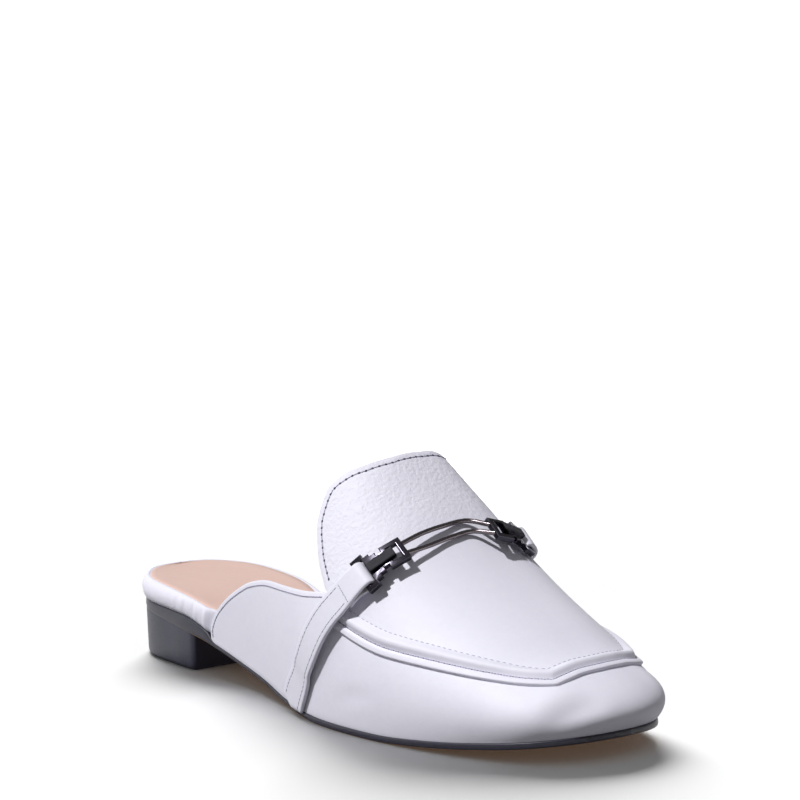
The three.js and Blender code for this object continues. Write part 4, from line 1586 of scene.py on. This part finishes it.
@dataclass
class LinkFrame:
    """Where a link stands: along it, across it and away from the upper, bent over the instep."""

    last: Last
    side: Side
    bend: float = 34.0
    middle: float = 6.2
    origin: Array = field(init=False)
    axes: Array = field(init=False)

    def __post_init__(self) -> None:
        """Stands the link on the upper."""
        column = self.last.column_at
        stands, normals = [], []
        for stand in LINK_STANDS[self.side]:
            u, rise = column(stand.x), np.array(stand.rise)
            stands.append(self.last.offset(self.side, u, rise, stand.lift))
            normals.append(self.last.normal(self.side, u, rise))
        along = unit(stands[1] - stands[0])
        across = unit(np.cross(normals[0] + normals[1], along))
        self.origin = stands[0]
        self.axes = np.stack([along, across, np.cross(along, across)])

    def at(self, along: Array | float, across: Array | float, away: Array | float) -> Array:
        """Points given along, across and away from the link's bar."""
        turn = (np.asarray(along, float) - self.middle) / self.bend
        radius = self.bend + np.asarray(away, float)
        x, z = self.middle + radius * np.sin(turn), radius * np.cos(turn) - self.bend
        parts = np.stack(np.broadcast_arrays(x, np.asarray(across, float), z), -1)
        return self.origin + parts @ self.axes


# Rows of a strap: on the upper, over to the bar, round the bar and back under itself.
STRAP_ROWS = 64
BRIDGE_ROWS = 17
TURN_ROWS = 11
RETURN_ROWS = 9


@dataclass
class Strap:
    """Flat strap from the feather line, folded round the bar of its link."""

    last: Last
    palette: Palette
    seamstress: Seamstress
    side: Side
    width: float = 11.0
    width_at_fold: float = 8.4
    width_at_foot: float = 16.0
    thickness: float = 1.4
    row_inset: float = 1.5
    free_from: float = 0.86
    bar_middle: float = -0.95
    bar_half: float = 1.05
    bar_gap: float = 0.2
    layer_gap: float = 0.12
    widening: float = 0.4
    stitch: Stitch = Stitch(pitch=2.2, length=1.5, radius=0.17, hole=0.27)

    def build(self) -> None:
        """Makes the strap and its stitches."""
        name = self.side.name.lower()
        grid = self._grid()
        along = np.gradient(grid, axis=0)
        across = np.gradient(grid, axis=1)
        normal = unit(np.cross(along, across)) * self._sign(grid, along, across)
        half = self.thickness / 2
        sheet = Sheet()
        outer, inner = grid + normal * half, grid - normal * half
        sheet.add(outer, inner, grain=0.12, swell=0.8)
        # The strap's underside and lowest rim row take the greyer leather: painted shade.
        finishes = (self.palette.upper, self.palette.strap_edge)
        item = sheet.build(f"side_strap_{name}", self.last, finishes)
        mend(item.data)
        dress(item, "strap_white", f"strap_{name}")
        self._stitches(name, grid, normal, half)

    def _sign(self, grid: Array, along: Array, across: Array) -> float:
        """Which way the grid's normals point outwards."""
        place = self.last.normal(self.side, self.last.column_at(150.0), np.array(0.1))
        middle = grid.shape[1] // 2
        return float(np.sign(np.cross(along[8, middle], across[8, middle]) @ place))

    def _grid(self) -> Array:
        """Middle surface: rows along the strap, columns across it."""
        last, side = self.last, self.side
        route = np.array([(last.column_at(p.x), p.rise, p.lift) for p in STRAP_ROUTES[side]])
        dense = catmull(route, 16)
        points = last.surface(side, dense[:, 0], dense[:, 1])
        length = arc_length(points)
        share = np.linspace(0, self.free_from, STRAP_ROWS)
        u, rise, lift = (np.interp(share * length[-1], length, dense[:, k]) for k in range(3))
        direction = np.gradient(last.surface(side, u, rise), axis=0)
        normal = last.normal(side, u, rise)
        sideways = unit(np.cross(normal, direction))
        w = np.linspace(-0.5, 0.5, 13)
        rows = []
        foot = np.clip(1 - share / self.widening, 0, 1)
        wide = self.width + (self.width_at_foot - self.width) * foot
        narrowing = 0.4 * smooth_step(share, 0.45, self.free_from)
        wide = wide - (self.width - self.width_at_fold) * narrowing
        for i in range(len(share)):
            shove = sideways[i] * (w * wide[i])[:, None]
            uu, rr = last.beside(side, np.full(len(w), u[i]), np.full(len(w), rise[i]), shove)
            rows.append(last.offset(side, uu, rr, lift[i] + self.thickness / 2))
        surface_rows = np.array(rows)
        return np.concatenate([surface_rows, self._free_end(surface_rows, w)])

    def _free_end(self, rows: Array, w: Array) -> Array:
        """Rows that bridge to the link, turn round its bar and come back under the strap."""
        frame = LinkFrame(self.last, self.side)
        radius = self.bar_half + self.bar_gap + self.thickness / 2
        across = w * self.width_at_fold
        if (rows[-1, -1] - rows[-1, 0]) @ frame.axes[1] < 0:
            across = -across
        top = frame.at(self.bar_middle, across, radius)
        start, step = rows[-1], rows[-1] - rows[-2]
        reach = float(np.linalg.norm(top - start, axis=1).mean())
        leave = unit(step) * reach
        arrive = unit(frame.at(0.5, 0, radius) - frame.at(-0.5, 0, radius)) * reach * 0.9
        steps = np.linspace(0, 1, BRIDGE_ROWS + 1)[1:]
        bridge = np.array([hermite(t, start, leave, top, arrive) for t in steps])
        parts = list(bridge)
        for turn in np.linspace(0, math.pi, TURN_ROWS + 1)[1:]:
            middle = self.bar_middle + radius * math.sin(turn)
            parts.append(frame.at(middle, across, radius * math.cos(turn)))
        layer = self.thickness + self.layer_gap
        for back in np.linspace(0.1, 1, RETURN_ROWS):
            station = int(round(15 - 10 * back))
            over, along = bridge[station], np.gradient(bridge, axis=0)[station]
            side_step = np.gradient(over, axis=0)
            normal = unit(np.cross(along, side_step))
            normal *= np.sign((normal * frame.axes[2]).sum(-1, keepdims=True))
            drop = 2 * radius + (layer - 2 * radius) * smooth_step(back, 0.0, 0.75)
            parts.append(over - normal * drop)
        return np.array(parts)

    def _stitches(self, name: str, grid: Array, normal: Array, half: float) -> None:
        """Two rows along the strap, and one across it that holds the fold."""
        rows = []
        end = STRAP_ROWS + 6
        share = self.row_inset / self.width
        top = grid + normal * (half - 0.03)
        for place in (share, 1 - share):
            column = place * (grid.shape[1] - 1)
            low = int(column)
            part = column - low
            line = top[:end, low] * (1 - part) + top[:end, low + 1] * part
            rows.append((line[2:], normal[2:end, low]))
        rows.append((top[end, 1:-1], normal[end, 1:-1]))
        self.seamstress.sew(f"strap_stitches_{name}", "strap_white", self.stitch, rows)


@dataclass
class Bit:
    """Bit across the instep: two stepped links and two slim rods."""

    last: Last
    palette: Palette
    thickness: float = 2.2
    bevel: float = 0.32
    rod_radius: float = 0.85
    rod_spacing: float = 4.2
    rib: LinkStep = LinkStep(2.4, 12.2, 1.8)
    rib_height: float = 1.8
    weld: float = 0.002

    def build(self) -> None:
        """Makes links and rods."""
        frames = {side: LinkFrame(self.last, side) for side in Side}
        for side, frame in frames.items():
            name = side.name.lower()
            item = self._link(f"bit_link_{name}", frame)
            dress(item, "gunmetal", f"link_{name}")
        for place, name in ((-1, "front"), (1, "rear")):
            item = self._rod(f"bit_rod_{name}", frames, place)
            dress(item, "gunmetal", f"bit_bar_{name}")

    def _outline(self) -> list[tuple[float, float]]:
        """Corners of the stepped plate."""
        edge = [(x, step.half) for step in LINK_STEPS for x in (step.start, step.end)]
        return [(x, -y) for x, y in edge] + edge[::-1]

    @staticmethod
    def _rectangle(step: LinkStep) -> list[tuple[float, float]]:
        """Corners of a window."""
        start, end, half = step
        return [(start, -half), (start, half), (end, half), (end, -half)]

    def _plate(
        self, name: str, loops: Sequence[Sequence[tuple[float, float]]], thickness: float, z: float
    ) -> bpy.types.Mesh:
        """Bevelled flat plate with windows, as a mesh in the link's own frame."""
        curve = bpy.data.curves.new(name, "CURVE")
        curve.dimensions = "2D"
        curve.fill_mode = "BOTH"
        curve.extrude = thickness / 2 - self.bevel
        curve.bevel_depth = self.bevel
        curve.bevel_resolution = 2
        curve.offset = -self.bevel
        for loop in loops:
            spline = curve.splines.new("POLY")
            spline.points.add(len(loop) - 1)
            for point, (x, y) in zip(spline.points, loop):
                point.co = (x, y, 0, 1)
            spline.use_cyclic_u = True
        item = bpy.data.objects.new(name, curve)
        bpy.context.scene.collection.objects.link(item)
        graph = bpy.context.evaluated_depsgraph_get()
        mesh = bpy.data.meshes.new_from_object(item.evaluated_get(graph), depsgraph=graph)
        bpy.data.objects.remove(item)
        bpy.data.curves.remove(curve)
        mesh.transform(Matrix.Translation((0, 0, z)))
        return mesh

    def _link(self, name: str, frame: LinkFrame) -> bpy.types.Object:
        """Stepped plate with a raised rib."""
        loops = [self._outline(), self._rectangle(STRAP_SLOT), self._rectangle(FRAME_WINDOW)]
        work = bmesh.new()
        plate = self._plate(name, loops, self.thickness, 0.0)
        rib_loops = [self._rectangle(self.rib)]
        rib = self._plate(name, rib_loops, self.rib_height + 1.0, self.thickness / 2 + 0.15)
        for mesh in (plate, rib):
            mend(mesh, self.weld)
            work.from_mesh(mesh)
        mesh = bpy.data.meshes.new(name)
        work.to_mesh(mesh)
        work.free()
        points = np.array([vertex.co for vertex in mesh.vertices])
        # Faces on top of the rib take the near-black finish: painted dark reflection, darker than the rib's
        # metal sides.
        painted_dark_tops = [face.center.z > self.thickness / 2 + self.rib_height * 0.7 for face in mesh.polygons]
        placed = self.last.to_row(frame.at(points[:, 0], points[:, 1], points[:, 2]))
        mesh.vertices.foreach_set("co", placed.astype(np.float32).ravel())
        mesh.materials.clear()
        mesh.materials.append(self.palette.gunmetal)
        mesh.materials.append(self.palette.black_enamel)
        for face, top in zip(mesh.polygons, painted_dark_tops):
            face.material_index = int(top)
        mesh.shade_smooth()
        mesh.set_sharp_from_angle(angle=math.radians(12))
        mesh.update()
        item = bpy.data.objects.new(name, mesh)
        bpy.context.scene.collection.objects.link(item)
        for used in (plate, rib):
            bpy.data.meshes.remove(used)
        return item

    def _rod(self, name: str, frames: dict[Side, LinkFrame], place: int) -> bpy.types.Object:
        """Slim round rod from one link's frame to the other's."""
        end = LINK_STEPS[-1].end - 0.6
        near = frames[Side.LATERAL].at(end, place * self.rod_spacing / 2, 0.0)
        far = frames[Side.MEDIAL].at(end, -place * self.rod_spacing / 2, 0.0)
        route = [
            self.last.offset(Side.LATERAL, self.last.column_at(stand.x), np.array(stand.rise), stand.lift)
            for stand in ROD_ROUTES[name.rsplit("_", 1)[1]]
        ]
        path = catmull(np.array([near, *route, far]), 14)
        return self._tube(name, path)

    def _tube(self, name: str, path: Array) -> bpy.types.Object:
        """Round tube along a path, closed at both ends."""
        around = 20
        tangent = unit(np.gradient(path, axis=0))
        guide = np.array([0.0, 0.0, 1.0])
        a = unit(np.cross(tangent, guide))
        b = np.cross(tangent, a)
        turn = np.linspace(0, 2 * math.pi, around, endpoint=False)
        ring = a[:, None] * np.cos(turn)[None, :, None] + b[:, None] * np.sin(turn)[None, :, None]
        points = path[:, None] + ring * self.rod_radius
        placed = self.last.to_row(points.reshape(-1, 3))
        item = finish_object(name, placed, tube_faces(len(path), around), [self.palette.rod_metal])
        mend(item.data)
        item.data.set_sharp_from_angle(angle=math.radians(50))
        return item


# ---- Studio ---------------------------------------------------------------------------------
@dataclass(frozen=True)
class Studio:
    """White sweep, a crisp key and a soft fill on the shoe, a broad light on the sweep, camera."""

    azimuth: float = 52.879
    elevation: float = 9.322
    roll: float = -1.1785
    distance: float = 824.171
    aim: tuple[float, float, float] = (38.673, 99.55, 25.0)
    focal: float = 85.116
    shift: tuple[float, float] = (-0.03008, 0.20586)
    key_direction: tuple[float, float, float] = (-0.05, -0.545, 0.837)
    key_strength: float = 3.15
    key_softness: float = 3.0
    fill_direction: tuple[float, float, float] = (-0.75, -0.55, 0.35)
    fill_strength: float = 0.45
    fill_softness: float = 40.0
    broad_direction: tuple[float, float, float] = (-0.75, 0.4, 0.53)
    broad_strength: float = 6.1
    broad_softness: float = 38.0
    sky_strength: float = 0.19
    glow_reach: tuple[float, float] = (0.22, 0.9)
    glow_strength: float = 1.1
    sweep_front: float = -3.0
    sweep_foot: float = 2.2
    sweep_radius: float = 0.6
    sweep_height: float = 1.1
    sweep_half: float = 2.6

    def build(self, last: Last) -> None:
        """Adds camera, lights, world and floor."""
        scene = bpy.context.scene
        scene.view_settings.view_transform = "Standard"
        az, el, roll = (math.radians(v) for v in (self.azimuth, self.elevation, self.roll))
        back = Vector((math.sin(az) * math.cos(el), -math.cos(az) * math.cos(el), math.sin(el)))
        right = Vector((math.cos(az), math.sin(az), 0))
        up = back.cross(right)
        side = right * math.cos(roll) + up * math.sin(roll)
        top = up * math.cos(roll) - right * math.sin(roll)
        place = Vector(last.to_row(np.array(self.aim))) + back * self.distance * MM
        data = bpy.data.cameras.new("camera")
        data.lens, data.sensor_width = self.focal, 36.0
        data.shift_x, data.shift_y = self.shift
        data.clip_start, data.clip_end = 0.05, 20.0
        camera = bpy.data.objects.new("camera", data)
        turn = Matrix((side, top, back)).transposed().to_4x4()
        camera.matrix_world = Matrix.Translation(place) @ turn
        scene.collection.objects.link(camera)
        scene.camera = camera
        sweep = self._sweep(back)
        for light, state in (("key", "EXCLUDE"), ("fill", "EXCLUDE"), ("broad", "INCLUDE")):
            settings = (getattr(self, f"{light}_{what}") for what in ("direction", "strength", "softness"))
            self._sun(light, *settings, sweep, state)
        self._world(scene)

    def _sun(
        self,
        name: str,
        direction: Sequence[float],
        strength: float,
        softness: float,
        sweep: bpy.types.Object,
        state: str,
    ) -> None:
        """Light from a direction that only reaches the sweep, or all but the sweep."""
        data = bpy.data.lights.new(name, "SUN")
        data.energy = strength
        data.angle = math.radians(softness)
        sun = bpy.data.objects.new(name, data)
        sun.rotation_euler = Vector(direction).to_track_quat("Z", "Y").to_euler()
        bpy.context.scene.collection.objects.link(sun)
        receivers = bpy.data.collections.new(f"{name}_receivers")
        receivers.objects.link(sweep)
        receivers.collection_objects[0].light_linking.link_state = state
        sun.light_linking.receiver_collection = receivers

    def _world(self, scene: bpy.types.Scene) -> None:
        """Even white surroundings."""
        world = bpy.data.worlds.new("studio")
        world.use_nodes = True
        sky = world.node_tree.nodes["Background"]
        sky.inputs["Color"].default_value = (1, 1, 1, 1)
        sky.inputs["Strength"].default_value = self.sky_strength
        scene.world = world

    def _glow(self, tree: bpy.types.NodeTree, surface: bpy.types.Node) -> None:
        """Makes the sweep glow white away from the shoe."""
        place = tree.nodes.new("ShaderNodeTexCoord")
        reach = tree.nodes.new("ShaderNodeVectorMath")
        reach.operation = "LENGTH"
        tree.links.new(place.outputs["Object"], reach.inputs[0])
        glow = tree.nodes.new("ShaderNodeMapRange")
        glow.interpolation_type = "SMOOTHSTEP"
        glow.inputs["From Min"].default_value, glow.inputs["From Max"].default_value = self.glow_reach
        glow.inputs["To Max"].default_value = self.glow_strength
        tree.links.new(reach.outputs["Value"], glow.inputs["Value"])
        tree.links.new(glow.outputs["Result"], surface.inputs["Emission Strength"])
        surface.inputs["Emission Color"].default_value = (1, 1, 1, 1)

    def _sweep(self, back: Vector) -> bpy.types.Object:
        """Plain white floor that curves up into a wall far behind the shoe."""
        material = bpy.data.materials.new("sweep_white")
        material.use_nodes = True
        surface = material.node_tree.nodes["Principled BSDF"]
        surface.inputs["Base Color"].default_value = (0.93, 0.93, 0.93, 1)
        surface.inputs["Roughness"].default_value = 0.9
        surface.inputs["Specular IOR Level"].default_value = 0.0
        self._glow(material.node_tree, surface)
        away = np.array([-back.x, -back.y, 0.0])
        away /= np.linalg.norm(away)
        across = np.array([-away[1], away[0], 0.0])
        foot, radius, half = self.sweep_foot, self.sweep_radius, self.sweep_half
        profile = [(self.sweep_front, 0.0), (foot, 0.0)]
        for turn in np.linspace(0, math.pi / 2, 25)[1:]:
            profile.append((foot + radius * math.sin(turn), radius * (1 - math.cos(turn))))
        profile.append((foot + radius, self.sweep_height))
        points = [
            away * a + across * w + np.array([0, 0, z]) for a, z in profile for w in (-half, half)
        ]
        faces = [[2 * i, 2 * i + 2, 2 * i + 3, 2 * i + 1] for i in range(len(profile) - 1)]
        sweep = finish_object("sweep", np.array(points), faces, [material])
        sweep.visible_diffuse = False
        return sweep


def main() -> None:
    """Builds the shoe piece by piece."""
    logging.basicConfig(level=logging.INFO, format="%(name)s: %(message)s")
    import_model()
    last = Last()
    palette = Palette()
    Studio().build(last)
    sole = SoleUnit(last, palette)
    for piece in (sole.outsole, sole.heel, sole.sock, sole.rand):
        piece()
    Upper(last, palette, Seamstress(last, palette)).build()
    Bit(last, palette).build()


if __name__ == "__main__":
    main()
